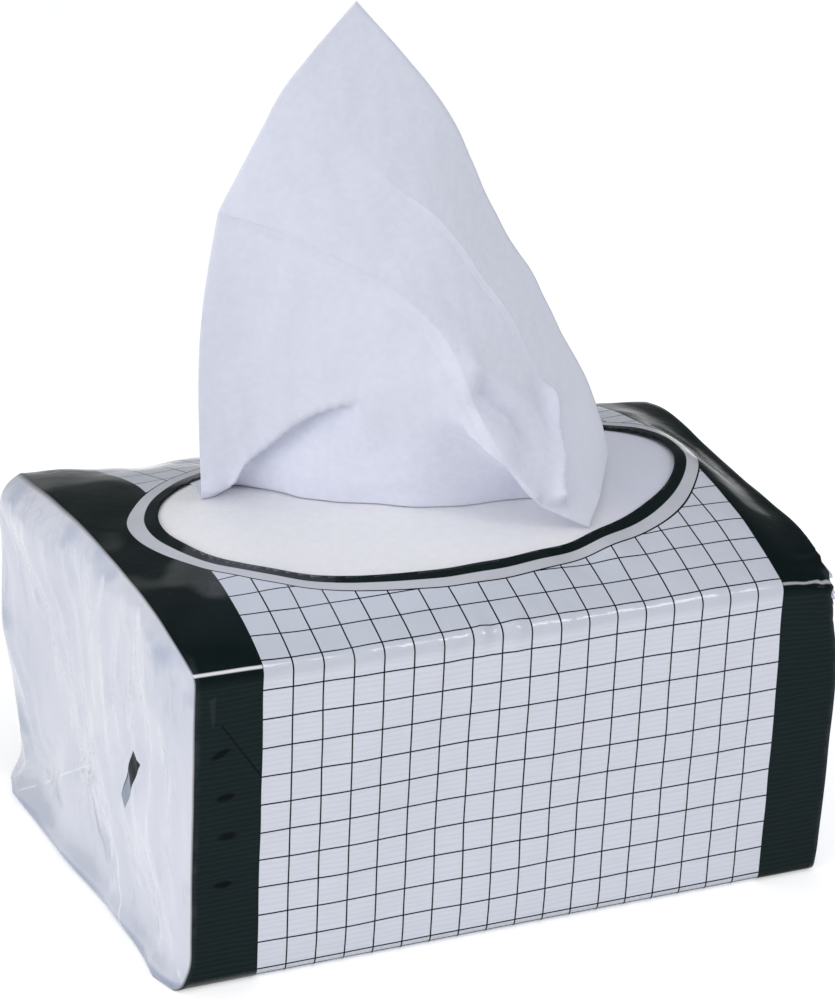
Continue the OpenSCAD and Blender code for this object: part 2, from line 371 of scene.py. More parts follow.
# %% [markdown]
# ### How the top settles at its ends
# In the photograph the arch is full only in the middle. Towards the left end the top flattens and keeps
# a round front shoulder, and at the right end it slopes down to a low edge. Every layer under the film
# follows, so one function gives the drop for all of them.

# %% Drop of the top at its ends
LEFT_FROM, LEFT_FULL, RIGHT_FROM = 70.0, 112.0, 88.0
LEFT_FRONT_Z, LEFT_BACK_Z, LEFT_FLAT_Z = 112.3, 116.0, 120.6
RIGHT_EDGE_Z, RIGHT_FLAT_Z = 110.5, 114.5
LEFT_FRONT_POWER, LEFT_BACK_POWER, RIGHT_POWER = 6, 4, 5


def smooth_step(low, high, value):
    """0 below low, 1 above high, and a soft rise between them."""
    t = np.clip((value - low) / (high - low), 0, 1)
    return t * t * (3 - 2 * t)


def top_drop(x, y):
    """How far the top lies above (or, below 0, under) the CAD arch at a place in plan."""
    y = np.clip(y, -HALF_DEPTH, HALF_DEPTH)
    t = np.abs(y) / HALF_DEPTH
    left_front = LEFT_FLAT_Z - (LEFT_FLAT_Z - LEFT_FRONT_Z) * t ** LEFT_FRONT_POWER
    left_back = LEFT_FLAT_Z - (LEFT_FLAT_Z - LEFT_BACK_Z) * t ** LEFT_BACK_POWER
    left_end = np.where(y < 0, left_front, left_back)
    right_end = RIGHT_FLAT_Z - (RIGHT_FLAT_Z - RIGHT_EDGE_Z) * t ** RIGHT_POWER
    drop = smooth_step(LEFT_FROM, LEFT_FULL, -x) * (left_end - arch_at(y, 0))
    return drop + smooth_step(RIGHT_FROM, HALF_LEN, x) * (right_end - arch_at(y, 0))


print("drop at the left and right ends in mm:", top_drop(np.array([-HALF_LEN, HALF_LEN]), 0.0).round(1))

# %% [markdown]
# ## Small tools for soft shapes
# Film and wipes wrinkle in two ways: in slow swells, and in sharp creases along a line. A swell is a
# sum of sine waves with fixed seeds, so every run gives the same one. A crease is a height that falls
# away from a drawn line. Sculpting by hand would look as good but could not be repeated in a script.

# %% Swells and creases
WAVES, SHORTEST, LONGEST, SWELL_H = 9, 1.5, 0.6, 0.7
EVEN_OVER, CREASE_ROUND = 4, 0.35


def swell(points, size, seed):
    """Soft unevenness of about one unit, with bumps of a given size; points is (..., 2 or 3)."""
    draw = np.random.default_rng(seed)
    total = np.zeros(points.shape[:-1])
    for _ in range(WAVES):
        way = draw.normal(size=points.shape[-1])
        way *= 2 * math.pi / size * draw.uniform(LONGEST, SHORTEST) / np.linalg.norm(way)
        total += np.sin(points @ way + draw.uniform(0, 2 * math.pi))
    return total * math.sqrt(2 / WAVES) * SWELL_H


def to_line(points, line):
    """Distance of 2-D points to a drawn line, and the share along it, evened out where it jumps."""
    line = np.asarray(line, float)
    steps = np.linalg.norm(np.diff(line, axis=0), axis=1)
    before = np.concatenate([[0], np.cumsum(steps)])
    gaps, shares = [], []
    for a, b, length, start in zip(line[:-1], line[1:], steps, before):
        t = np.clip((points - a) @ (b - a) / length ** 2, 0, 1)
        gaps.append(np.linalg.norm(points - (a + t[..., None] * (b - a)), axis=-1))
        shares.append((start + t * length) / before[-1])
    gaps = np.stack(gaps)
    nearest = gaps.min(axis=0)
    weight = np.exp(-(gaps - nearest) / EVEN_OVER)
    return nearest, (weight * np.stack(shares)).sum(axis=0) / weight.sum(axis=0)


def crease(points, line, height, width, fade=0.25):
    """Sharp ridge (or valley, for a negative height) along a drawn line, fading at both ends."""
    gap, share = to_line(points, line)
    ends = np.clip(np.minimum(share, 1 - share) / fade, 0, 1)
    blunt = CREASE_ROUND * width
    soft = np.sqrt(gap ** 2 + blunt ** 2) - blunt
    return height * np.exp(-soft / width) * ends


def inside(points, outline):
    """Signed distance of 2-D points to a closed outline, positive inside."""
    ring = [*outline, outline[0]]
    gap, _ = to_line(points, ring)
    odd = np.zeros(points.shape[:-1], bool)
    for (ay, az), (by, bz) in zip(ring[:-1], ring[1:]):
        spans = (az > points[..., 1]) != (bz > points[..., 1])
        cut = ay + (points[..., 1] - az) * (by - ay) / ((bz - az) or 1e-9)
        odd ^= spans & (points[..., 0] < cut)
    return np.where(odd, gap, -gap)


print("soft tools ready")

# %% [markdown]
# ### Meshes
# Every piece is a mesh at the origin, made from points in millimetres. A sheet gets its thickness from a
# modifier, which is applied at once, so that the piece is a plain mesh.

# %% Meshes
def make_piece(name, points, faces, material):
    """Mesh object from points in mm, at the origin, smooth shaded."""
    mesh = bpy.data.meshes.new(name)
    mesh.from_pydata((np.asarray(points) * MM).tolist(), [], faces)
    mesh.materials.append(material)
    mesh.polygons.foreach_set("use_smooth", [True] * len(mesh.polygons))
    mesh.update()
    piece = bpy.data.objects.new(name, mesh)
    bpy.context.scene.collection.objects.link(piece)
    return piece


def settle(piece):
    """Turns a piece with modifiers into one plain mesh."""
    bpy.context.view_layer.update()
    graph = bpy.context.evaluated_depsgraph_get()
    mesh = bpy.data.meshes.new_from_object(piece.evaluated_get(graph), depsgraph=graph)
    piece.modifiers.clear()
    old = piece.data
    piece.data = mesh
    bpy.data.meshes.remove(old)
    mesh.name = piece.name
    return piece


def thicken(piece, wall, offset):
    """Gives a sheet its thickness in mm, then settles it."""
    wall_maker = piece.modifiers.new("wall", "SOLIDIFY")
    wall_maker.thickness = wall * MM
    wall_maker.offset = offset
    return settle(piece)


def grid_faces(rows, columns):
    """Quads between the points of a grid that is stored row by row."""
    k = (np.arange(rows - 1)[:, None] * columns + np.arange(columns - 1)).ravel()
    return np.stack([k, k + 1, k + columns + 1, k + columns], axis=1)


print("mesh tools ready")

# %% [markdown]
# ## Fibre grain
# Nonwoven cloth is a felt of short fibres: from near it is a fine cloud of denser and thinner spots.
# The wipes show it openly, and the worn edge of the printed bands borrows its cloud, so it is one node
# group, placed in each material with its own scale.

# %% Fibre grain group
CLOUD_SHARE, CLOUD_DETAIL = 0.45, 3.0
LONG_THREADS, CROSS_THREADS = (1.0, 0.35, 1.0), (0.4, 1.0, 1.0)

fibre = bpy.data.node_groups.new("fibre_grain", "ShaderNodeTree")
for name, in_out, kind in (("Vector", "INPUT", "Vector"), ("Scale", "INPUT", "Float"),
                           ("Cloud", "OUTPUT", "Float"), ("Height", "OUTPUT", "Float")):
    fibre.interface.new_socket(name, in_out=in_out, socket_type="NodeSocket" + kind)
fibre_in = add(fibre, "NodeGroupInput").outputs
grain_at, grain_scale = Wire(fibre, fibre_in["Vector"]), Wire(fibre, fibre_in["Scale"])
cloud = noise(grain_at, grain_scale * CLOUD_SHARE, CLOUD_DETAIL)
threads = noise(stretch(grain_at, *LONG_THREADS), grain_scale, 1.0)
threads = threads + noise(stretch(grain_at, *CROSS_THREADS), grain_scale, 1.0)
add(fibre, "NodeGroupOutput", Cloud=cloud, Height=threads * 0.5)


def place_fibre(where, scale):
    """Fibre grain group in a material; returns its cloud and its height."""
    node = add(where.tree, "ShaderNodeGroup")
    node.node_tree = fibre
    plug(node.inputs["Vector"], where)
    plug(node.inputs["Scale"], scale)
    return Wire(where.tree, node.outputs["Cloud"]), Wire(where.tree, node.outputs["Height"])


print("group:", fibre.name)

# %% [markdown]
# ## The wipes' cloth
# The wipes are matt and white with a cool tint, and a trace of sheen from loose fibres. A single flat
# white would look like plaster, so the fibre cloud shifts the tint and the threads roughen the light.
# The wipe that lies in the mouth looks warmer in the photograph. Its cloth is also painted brighter, as
# painted light, and darker and cooler towards its right, as painted shade from the pulled wipe, so the
# cloth is made in two versions with a third tint at the right.

# %% Cloth material
WIPE_THIN, WIPE_DENSE = (0.745, 0.765, 0.875, 1.0), (0.775, 0.793, 0.897, 1.0)
NEXT_LIT_THIN, NEXT_LIT_DENSE = (0.885, 0.880, 0.900, 1.0), (0.910, 0.905, 0.925, 1.0)
NEXT_PAINTED_SHADE, SHADE_FROM, SHADE_TO = (0.70, 0.71, 0.81, 1.0), 0.022, 0.062
CLOTH_GRAIN, CLOTH_BUMP, CLOTH_DEEP = 900.0, 0.25, 0.0004
DENSE_FROM, DENSE_TO = 0.3, 0.7
CLOTH_LOOKS = {"Roughness": 0.92, "Specular IOR Level": 0.15, "Sheen Weight": 0.08, "Sheen Roughness": 0.5}


def make_cloth(name, thin, dense, shade):
    """Nonwoven cloth between two tints, and towards the right a third: painted shade on the mouth's wipe."""
    made, tree, shader = new_material(name)
    where = wire(tree, "ShaderNodeTexCoord", "Object")
    grain, grain_height = place_fibre(where, CLOTH_GRAIN)
    tint = mix_colour(ramp(grain, DENSE_FROM, DENSE_TO), thin, dense)
    # painted shade: towards the right the tint turns to the third colour
    tint = mix_colour(ramp(split(where)[0], SHADE_FROM, SHADE_TO), tint, shade)
    dress(shader, {"Base Color": tint, "Normal": bump(grain_height, CLOTH_BUMP, CLOTH_DEEP), **CLOTH_LOOKS})
    return made


cloth = make_cloth("white_nonwoven", WIPE_THIN, WIPE_DENSE, WIPE_DENSE)
# the mouth's wipe: brighter tints as painted light, and painted shade at its right
inner_cloth = make_cloth("warm_lit_nonwoven", NEXT_LIT_THIN, NEXT_LIT_DENSE, NEXT_PAINTED_SHADE)
print("materials:", cloth.name, inner_cloth.name)

# %% [markdown]
# ## The film's section
# Seen from the end, the film runs up the front, over the arch, down the back and along the base, with
# a small round crease at each long edge. The print was laid on the flat film, so its squares follow the
# length along this line. The section is therefore kept as points together with that length.

# %% Section of the film
def arc(centre, radius, start, stop, steps):
    """Points of an arc in the end view, angles in radians, without its last point."""
    a = np.linspace(start, stop, steps, endpoint=False)
    return np.stack([centre[0] + radius * np.cos(a), centre[1] + radius * np.sin(a)], axis=1)


def straight(first, last, steps):
    """Points of a straight stretch, without its last point."""
    return np.linspace(first, last, steps, endpoint=False)


edge_y = HALF_DEPTH - EDGE_R
edge_reach = math.sqrt((ARCH_R - EDGE_R) ** 2 - edge_y ** 2)
edge_z = ARCH_Z + edge_reach
lean = math.atan2(edge_reach, edge_y)
stretches = [
    ("front", straight((-HALF_DEPTH, EDGE_R), (-HALF_DEPTH, edge_z), 56)),
    ("front_edge", arc((-edge_y, edge_z), EDGE_R, math.pi, math.pi - lean, 8)),
    ("top", arc((0, ARCH_Z), ARCH_R, math.pi - lean, lean, 88)),
    ("back_edge", arc((edge_y, edge_z), EDGE_R, lean, 0, 8)),
    ("back", straight((HALF_DEPTH, edge_z), (HALF_DEPTH, EDGE_R), 40)),
    ("back_base", arc((edge_y, EDGE_R), EDGE_R, 0, -math.pi / 2, 5)),
    ("base", straight((edge_y, 0), (-edge_y, 0), 16)),
    ("front_base", arc((-edge_y, EDGE_R), EDGE_R, -math.pi / 2, -math.pi, 5)),
]
section = np.concatenate([points for _, points in stretches])
part_of = np.concatenate([[name] * len(points) for name, points in stretches])
loop = np.concatenate([section, section[:1]])
run = EDGE_R + np.concatenate([[0], np.cumsum(np.linalg.norm(np.diff(loop, axis=0), axis=1))])
around = np.roll(section, -1, axis=0) - np.roll(section, 1, axis=0)
section_out = np.stack([-around[:, 1], around[:, 0]], axis=1)
section_out /= np.linalg.norm(section_out, axis=1)[:, None]
on_top = part_of == "top"
FRONT_EDGE_RUN = run[:-1][part_of == "front_edge"].mean()
BACK_EDGE_RUN = run[:-1][part_of == "back_edge"].mean()
CROWN_RUN = (FRONT_EDGE_RUN + BACK_EDGE_RUN) / 2
print("section points:", len(section), "film round the pack in mm:", round(run[-1] - EDGE_R, 1))

# %% [markdown]
# ## The film drawn over the block
# The film could be a copy of the CAD shell, but that has no creases. Here it is a tube of points, ring
# by ring along the pack, closed later by end caps of shrinking rings. Every point is then pushed by what
# the photograph shows: slow swells, a rim that flutters, a leaning end and a pinched corner.

# %% Tube
COLUMNS = 128
plan_r = bow_radius(HALF_DEPTH, END_PUFF)
side_r = bow_radius(CROWN / 2, END_PUFF)


def end_reach(y, z):
    """How far the puffed end reaches along the pack at a place in the end view."""
    by_plan = HALF_LEN + END_PUFF - plan_r + np.sqrt(np.maximum(plan_r ** 2 - y ** 2, 0))
    off_mid = z - CROWN / 2
    by_side = HALF_LEN + END_PUFF - side_r + np.sqrt(np.maximum(side_r ** 2 - off_mid ** 2, 0))
    return -2 * np.log(np.exp(-by_plan / 2) + np.exp(-by_side / 2))


reach = end_reach(section[:, 0], section[:, 1])
share = np.linspace(-1, 1, COLUMNS)
tube = np.empty((COLUMNS, len(section), 3))
tube[..., 0] = share[:, None] * reach
tube[..., 1:] = section
tube_run = np.broadcast_to(run[:-1], (COLUMNS, len(section))).copy()
print("tube grid:", tube.shape[:2])

# %% [markdown]
# ### The mouth
# The mouth is an oval cut straight down through the top, fuller at its left front and bent a little to
# the back at its left tip. Grid squares that lie wholly inside it go, and the inner corners of those
# that cross it are drawn out onto the oval, which leaves a clean rim.

# %% Cut the mouth
def mouth_bend(along):
    """How far the left part of the mouth bends to the back."""
    return MOUTH_BEND * (np.maximum(-along, 0) / MOUTH_A) ** 3


def mouth_place(x, y):
    """Place in plan, measured from the mouth's centre along its own length and width."""
    dx, dy = x - MOUTH_X, y - MOUTH_Y
    c, s = math.cos(MOUTH_TURN), math.sin(MOUTH_TURN)
    along = dx * c + dy * s
    return along, dy * c - dx * s - mouth_bend(along)


def mouth_point(along, over):
    """Place in plan of a point given along the mouth's own length and width."""
    over = over + mouth_bend(along)
    c, s = math.cos(MOUTH_TURN), math.sin(MOUTH_TURN)
    return MOUTH_X + along * c - over * s, MOUTH_Y + along * s + over * c


def mouth_share(x, y):
    """1 on the rim of the mouth, less inside, more outside."""
    along, over = mouth_place(x, y)
    a, b = along / MOUTH_A, over / MOUTH_B
    left_front = np.where((a < 0) & (b < 0), 2 * a * b / (a * a + b * b + 1e-9), 0)
    power = 2 + MOUTH_FULL * left_front
    return (np.abs(a) ** power + np.abs(b) ** power) ** (1 / power)


OUT_OF_MOUTH = 9.0
from_centre = np.where(on_top, mouth_share(tube[..., 0], tube[..., 1]), OUT_OF_MOUTH)
in_mouth = from_centre < 1
n_around = len(section)
rows_k = np.arange(COLUMNS - 1)[:, None] * n_around
k0 = (rows_k + np.arange(n_around)).ravel()
k1 = (rows_k + (np.arange(n_around) + 1) % n_around).ravel()
tube_faces = np.stack([k0, k0 + n_around, k1 + n_around, k1], axis=1)
kept = ~in_mouth.ravel()[tube_faces].all(axis=1)
tube_faces = tube_faces[kept]
rim = np.zeros(in_mouth.size, bool)
rim[tube_faces.ravel()] = True
rim = rim.reshape(in_mouth.shape) & in_mouth
rim_at = mouth_place(tube[rim, 0], tube[rim, 1])
tube[rim, 0], tube[rim, 1] = mouth_point(rim_at[0] / from_centre[rim], rim_at[1] / from_centre[rim])
tube[rim, 2] = arch_at(tube[rim, 1], 0)
tube_run[rim] = CROWN_RUN + ARCH_R * np.arcsin(tube[rim, 1] / ARCH_R)
print("rim points:", int(rim.sum()), "squares cut away:", int((~kept).sum()))

# %% [markdown]
# ### Swells of the film
# Film that is drawn round a soft block is never flat. It swells slowly everywhere, and it is scalloped
# along both top edges, most of all in the middle of the front edge, where it is loose over the folds.
# A swell is pushed straight out of the section, and none goes into the base, which stands on the table.

# %% Swells and scallops
LIFT, SLOW_SWELL, FINE_SWELL = 0.35, (0.35, 70, 11), (0.12, 22, 12)
FRONT_SCALLOPS, BACK_SCALLOPS = ((0.35, 16, 13), (0.2, 7, 14)), (0.4, 18, 15)
EDGE_HALF, EDGE_STRETCH = 7, 0.25
LOOSE_X, LOOSE_HALF, TIGHT_SHARE = -12.0, 20, 0.15

x, y, z = (tube[..., i].copy() for i in range(3))
flat = np.stack([x, tube_run], axis=-1)
out_y = np.broadcast_to(section_out[:, 0], x.shape)
out_z = np.broadcast_to(section_out[:, 1], x.shape)


def bell(value, half):
    """1 at zero, falling away on both sides."""
    return np.exp(-(value / half) ** 2)


def swells(points, *kinds):
    """Sum of swells, each given by its height, the size of its bumps and its seed."""
    return sum(height * swell(points, size, seed) for height, size, seed in kinds)


lift = LIFT + swells(flat, SLOW_SWELL, FINE_SWELL)
along_edge = np.stack([x, EDGE_STRETCH * tube_run], axis=-1)
loose = TIGHT_SHARE + (1 - TIGHT_SHARE) * bell(x - LOOSE_X, LOOSE_HALF)
lift += bell(tube_run - FRONT_EDGE_RUN, EDGE_HALF) * loose * swells(along_edge, *FRONT_SCALLOPS)
lift += bell(tube_run - BACK_EDGE_RUN, EDGE_HALF) * swells(along_edge, BACK_SCALLOPS)
print("largest swell in mm:", round(float(lift.max()), 2))

# %% [markdown]
# ### Flutter at the mouth
# The cut edge of the film isn't held by anything, so the rim waves a little all round, and at the right
# front the film has one larger wave.

# %% Flutter at the mouth
RIM_REACH, RIM_ROUND, RIM_WAVES = 0.12, 40, (0.25, 18, 16)
WAVE_X, WAVE_LONG, WAVE_TURNS, WAVE_H = 34, 15, 2.6, 1.1
WAVE_Y, WAVE_WIDE = -42, 12
FOOT_H = 14

rim_gap = np.where(on_top, mouth_share(x, y) - 1, OUT_OF_MOUTH)
rim_along, rim_over = mouth_place(x, y)
turn_at = np.arctan2(rim_over / MOUTH_B, rim_along / MOUTH_A)
round_rim = np.stack([np.cos(turn_at) * RIM_ROUND, np.sin(turn_at) * RIM_ROUND], axis=-1)
lift += bell(np.maximum(rim_gap, 0), RIM_REACH) * swells(round_rim, RIM_WAVES)
wave_x = (x - WAVE_X) / WAVE_LONG
wave = bell(wave_x, 1) * np.sin(wave_x * WAVE_TURNS)
lift += bell(y - WAVE_Y, WAVE_WIDE) * np.where(on_top, WAVE_H * wave, 0)
on_base = np.isin(part_of, ["base", "front_base", "back_base"])
lift = np.where(on_base, 0.0, lift)
lift *= np.where(on_top, 1.0, smooth_step(0, FOOT_H, z))
print("largest lift in mm:", round(float(lift.max()), 2))

# %% [markdown]
# ### Leaning end and pinched corner
# The left end leans out towards the back and has loose film at its foot, and the right top corner at the
# front is pinched in and crumpled. A lattice could bend the ends, but a shift worked out for each point
# keeps the print's flat coordinates as they are.

# %% Lean and pinch
LEAN, BACK_LEAN, BACK_LEAN_Z = 6.5, 3.0, (-30, 60)
CORNER_FLARE, FLARE_FROM_Y = 6.8, 40
EDGE_FROM_X, PART_TO_X, DROP_FROM_Z = 95, 85, 60
SKIRT_Y = [-78, -72, -63, -48, -33, -16, 10, 44, 60, 78]
SKIRT_OUT = [2.5, 5.5, 8.0, 6.0, 6.0, 6.0, 8.3, 9.0, 9.5, 5.5]
SKIRT_H = 7.0
PINCH, PINCH_X, PINCH_Y, PINCH_Z = 4.5, 84, 30, 75
CRUMPLES = ((0.35, 9, 0), (0.25, 4.5, 5))
CRUMPLE_SEEDS = (21, 22, 23)


def skirt(y, z):
    """How far the loose film at the foot of the left end stands out."""
    return np.interp(y, SKIRT_Y, SKIRT_OUT) * bell(np.maximum(z, 0), SKIRT_H)


left_edge = smooth_step(EDGE_FROM_X, HALF_LEN, -x)
left_part = smooth_step(0, PART_TO_X, -x)
to_back = (y + HALF_DEPTH) / PACK_DEPTH
leaning = LEAN * to_back + BACK_LEAN * to_back ** 4 * smooth_step(*BACK_LEAN_Z, z)
flare = CORNER_FLARE * np.maximum(left_part - left_edge, 0) * smooth_step(FLARE_FROM_Y, HALF_DEPTH, y)
pinch = smooth_step(PINCH_X, HALF_LEN, x) * smooth_step(PINCH_Z, SIDE_H, z)
pinch = pinch * smooth_step(PINCH_Y, HALF_DEPTH, -y)
tube[..., 0] = x - left_edge * (leaning + skirt(y, z)) - flare - PINCH * pinch
tube[..., 1] = y + out_y * lift
tube[..., 2] = z + out_z * lift + top_drop(x, y) * smooth_step(DROP_FROM_Z, SIDE_H, z)
unmoved = np.stack([x, y, z], axis=-1)
for axis, seed in enumerate(CRUMPLE_SEEDS):
    tube[..., axis] += pinch ** 2 * swells(unmoved, *((h, size, seed + more) for h, size, more in CRUMPLES))
print("deepest pinch in mm:", round(float(PINCH * pinch.max()), 1))

# %% [markdown]
# ### The folded ends
# Each end is closed like a parcel: the sides go in first, then the upper and the lower flap, and the
# film is sealed flat. On the photograph's left end the lower flap's slanting edges catch the light, and
# the loose film between them is full of fine upright wrinkles.

# %% Folds of the ends
LOWER_FLAP = [(72, -6), (8, 39), (-6, 43), (-24, 26), (-34, -6)]
UPPER_FLAP = [(-76, 118), (-14, 52), (14, 50), (76, 118), (0, 140)]
GUSSET, GUSSET_H, GUSSET_W = [(-75, 21), (-34, 22)], 0.6, 2.0
LOWER_FLAP_H, UPPER_FLAP_H, FLAP_SOFT = 0.9, 0.6, 1.2
END_SLANT, END_STRETCH = 0.2, 0.25
PUFF_H, PUFF_SIZE, PLEAT_H, PLEAT_SIZE, FINE_H, FINE_SIZE = 0.9, 46, 1.1, 19, 0.22, 8
PLEAT_ROUND, PLEAT_TOP = 0.03, 0.7
BEAD, BACK_BEAD, LOW_BEAD, BEAD_Y, BEAD_Z = 1.5, 7.0, 0.15, -10, (10, 105)


def end_relief(yz, seed):
    """Height in mm of the folds on an end, at points of the end view."""
    height = LOWER_FLAP_H * smooth_step(-FLAP_SOFT, FLAP_SOFT, inside(yz, LOWER_FLAP))
    height += UPPER_FLAP_H * smooth_step(-FLAP_SOFT, FLAP_SOFT, inside(yz, UPPER_FLAP))
    height += crease(yz, GUSSET, GUSSET_H, GUSSET_W)
    upright = np.stack([yz[..., 0] - END_SLANT * yz[..., 1], END_STRETCH * yz[..., 1]], axis=-1)
    pleats = np.sqrt(swell(upright, PLEAT_SIZE, seed + 1) ** 2 + PLEAT_ROUND)
    height += PUFF_H * swell(yz, PUFF_SIZE, seed) + PLEAT_H * (PLEAT_TOP - pleats)
    return height + FINE_H * swell(upright, FINE_SIZE, seed + 2)


def end_bead(yz, end):
    """How far the loose film of an end rolls out past its edge before it turns in."""
    if end > 0:
        return np.full(yz.shape[:-1], BEAD)
    high = smooth_step(*BEAD_Z, yz[..., 1])
    to_back_edge = smooth_step(BEAD_Y, HALF_DEPTH, yz[..., 0])
    return BEAD + BACK_BEAD * to_back_edge * (LOW_BEAD + (1 - LOW_BEAD) * high)


print("corners of the lower and upper flap:", len(LOWER_FLAP), len(UPPER_FLAP))

# %% [markdown]
# ### Close the ends
# From the edge of the tube, rings shrink towards the middle of the end and take on its folds. At the edge
# they keep the tube's own shift, so nothing shows where the two meet. Each point also stores whether it
# is on an end, how deep it lies in the lower flap, and how far it is from the edge.

# %% Close the ends
CAP_RINGS, CAP_CENTRE = 36, np.array([0.0, 58.0])
SHRINK_POWER, SMALLEST = 1.3, 0.012
SETTLE_BY, BEAD_BY, SHIFT_BY = 0.12, 0.045, 0.7
BEAD_LOSS, BEAD_LOSS_OVER = 0.6, (0.1, 0.8)
END_SEEDS = {-1: 31, 1: 41}
FAR = 30.0

shrink = 1 - (np.arange(1, CAP_RINGS + 1) / CAP_RINGS) ** SHRINK_POWER
shrink[-1] = SMALLEST
points = [tube.reshape(-1, 3)]
faces = [tube_faces]
total = n_tube = len(points[0])
ends, flaps, inward = [np.zeros(n_tube)], [np.full(n_tube, -FAR)], [np.zeros(n_tube)]
for end, column in ((-1, 0), (1, COLUMNS - 1)):
    edge = tube[column]
    shift = edge - np.column_stack([end * reach, section])
    if end < 0:
        shift[:, 0] += skirt(section[:, 0], section[:, 1])
    yz = CAP_CENTRE + (section - CAP_CENTRE) * shrink[:, None, None]
    deep = 1 - shrink[:, None]
    cap = np.empty((*yz.shape[:2], 3))
    relief = end_relief(yz, END_SEEDS[end]) * smooth_step(0, SETTLE_BY, deep)
    rolled = (1 - np.exp(-deep / BEAD_BY)) * (1 - BEAD_LOSS * smooth_step(*BEAD_LOSS_OVER, deep))
    relief += end_bead(yz, end) * rolled
    cap[..., 0] = end * (end_reach(yz[..., 0], yz[..., 1]) + relief)
    cap[..., 1:] = yz
    cap += shift * (1 - smooth_step(0, SHIFT_BY, deep))[..., None]
    if end < 0:
        cap[..., 0] -= skirt(yz[..., 0], yz[..., 1])
    ring_ids = np.arange(n_around)
    inner = total + np.arange(CAP_RINGS * n_around).reshape(CAP_RINGS, n_around)
    all_rings = np.vstack([column * n_around + ring_ids, inner])
    a, b = all_rings[:-1], all_rings[1:]
    a_next, b_next = np.roll(a, -1, axis=1), np.roll(b, -1, axis=1)
    order = (a, a_next, b_next, b) if end < 0 else (a, b, b_next, a_next)
    faces.append(np.stack([o.ravel() for o in order], axis=1))
    middle = total + CAP_RINGS * n_around
    last = all_rings[-1]
    pairs = (last, np.roll(last, -1)) if end < 0 else (np.roll(last, -1), last)
    faces.append(np.stack([pairs[0], pairs[1], np.full(n_around, middle)], axis=1))
    points += [cap.reshape(-1, 3), cap[-1].mean(axis=0)[None]]
    ends.append(np.ones(CAP_RINGS * n_around + 1))
    flaps.append(np.append(np.clip(inside(yz, LOWER_FLAP), -FAR, FAR).ravel(), FAR))
    edge_gap = np.linalg.norm(yz - section, axis=-1)
    inward.append(np.append(edge_gap.ravel(), edge_gap.max()))
    total = middle + 1
film_points = np.concatenate(points)
film_ends = np.concatenate(ends)
film_flap = np.concatenate(flaps)
film_inward = np.concatenate(inward)
print("film points:", len(film_points))

# %% [markdown]
# ### Film material: where things lie
# The film is one glossy skin in the colour of the wipes under it. A see-through shader would be nearer to
# the real film, but its look would hang on what lies close beneath. The print is laid out on the flat
# film, whose coordinates count squares of the check, so it bends with every crease and needs no picture.
# Marks on the ends are drawn as outlines, in millimetres.

# %% Coordinates and drawing tools
SQUARE, PRINT_START = 10.0, 4.3
SPOT_CORE, SPOT_RIM = 0.2, 1.2
LINE_CORE, LINE_RIM = 0.75, 1.25
MANY_SQUARES = 100

film_look, film_tree, film_shader = new_material("printed_film")
film_at = wire(film_tree, "ShaderNodeTexCoord", "Object")
film_x, film_y, film_z = split(film_at)
print_uv = add(film_tree, "ShaderNodeUVMap")
print_uv.uv_map = "print"
u_cell, v_cell, _ = split(Wire(film_tree, print_uv.outputs["UV"]))


def attribute(name):
    """Value stored on the film's mesh."""
    node = add(film_tree, "ShaderNodeAttribute")
    node.attribute_name = name
    return Wire(film_tree, node.outputs["Fac"])


def within(across, up, corners):
    """Millimetres inside a convex outline, its corners counter-clockwise in mm."""
    sides = []
    for (ax, ay), (bx, by) in zip(corners, [*corners[1:], corners[0]]):
        length = math.hypot(bx - ax, by - ay)
        sides.append((across - ax * MM) * ((ay - by) / length) + (up - ay * MM) * ((bx - ax) / length))
    return lowest(*sides) / MM


def blotches(where, scale, low, high, full=1.0):
    """Patches of noise, with soft borders between two levels."""
    return ramp(noise(where, scale), low, high, 0.0, full)


def window(value, low, high, soft):
    """1 between two values, with soft borders."""
    return ramp(value, low - soft, low + soft) * fade(value, high - soft, high + soft)


def spot(across, up, centre, half, rise):
    """1 within a small slanted oval, its centre and half sizes in mm."""
    off_x = across / MM - centre[0]
    off_z = up / MM - centre[1] - off_x * rise
    return fade(abs(off_x / half[0]) ** 2.0 + abs(off_z / half[1]) ** 2.0, SPOT_CORE, SPOT_RIM)


def thin_line(cell, half):
    """1 on the lines between squares."""
    off = abs(maths(film_tree, "FRACT", cell + (MANY_SQUARES + 0.5)) - 0.5)
    return fade(off, half * LINE_CORE, half * LINE_RIM)


on_end, on_side, from_mouth = attribute("on_end"), attribute("on_side"), attribute("from_mouth")
in_flap, from_edge = attribute("in_flap"), attribute("from_edge")
off_end = 1.0 - on_end
print("material:", film_look.name)

# %% [markdown]
# ### Film material: print
# A dark band goes round each end, with a check of thin lines between them. Round the mouth there is a dark
# ring, then a clear margin with a thin line at its outer edge. Each is a soft step of one coordinate.

# %% Print
LINE_HALF = 0.026
BAND_FROM, BAND_SOFT = 9.0, 0.015
RING_W, RING_SOFT = 4.3, 0.12
MARGIN_W, MARGIN_SOFT = 8.8, 0.1
MARGIN_LINE = (0.2, 0.36)

aside = abs(u_cell)
band = ramp(aside, BAND_FROM - BAND_SOFT, BAND_FROM + BAND_SOFT)
check = highest(thin_line(u_cell, LINE_HALF), thin_line(v_cell, LINE_HALF))
outside = ramp(from_mouth, MARGIN_W - MARGIN_SOFT, MARGIN_W + MARGIN_SOFT)
ring = fade(from_mouth, RING_W - RING_SOFT, RING_W + RING_SOFT)
margin_line = fade(abs(from_mouth - MARGIN_W), *MARGIN_LINE)
ink = highest(ring, margin_line, highest(band, check) * outside) * off_end
print("band from square", BAND_FROM, "on each side")
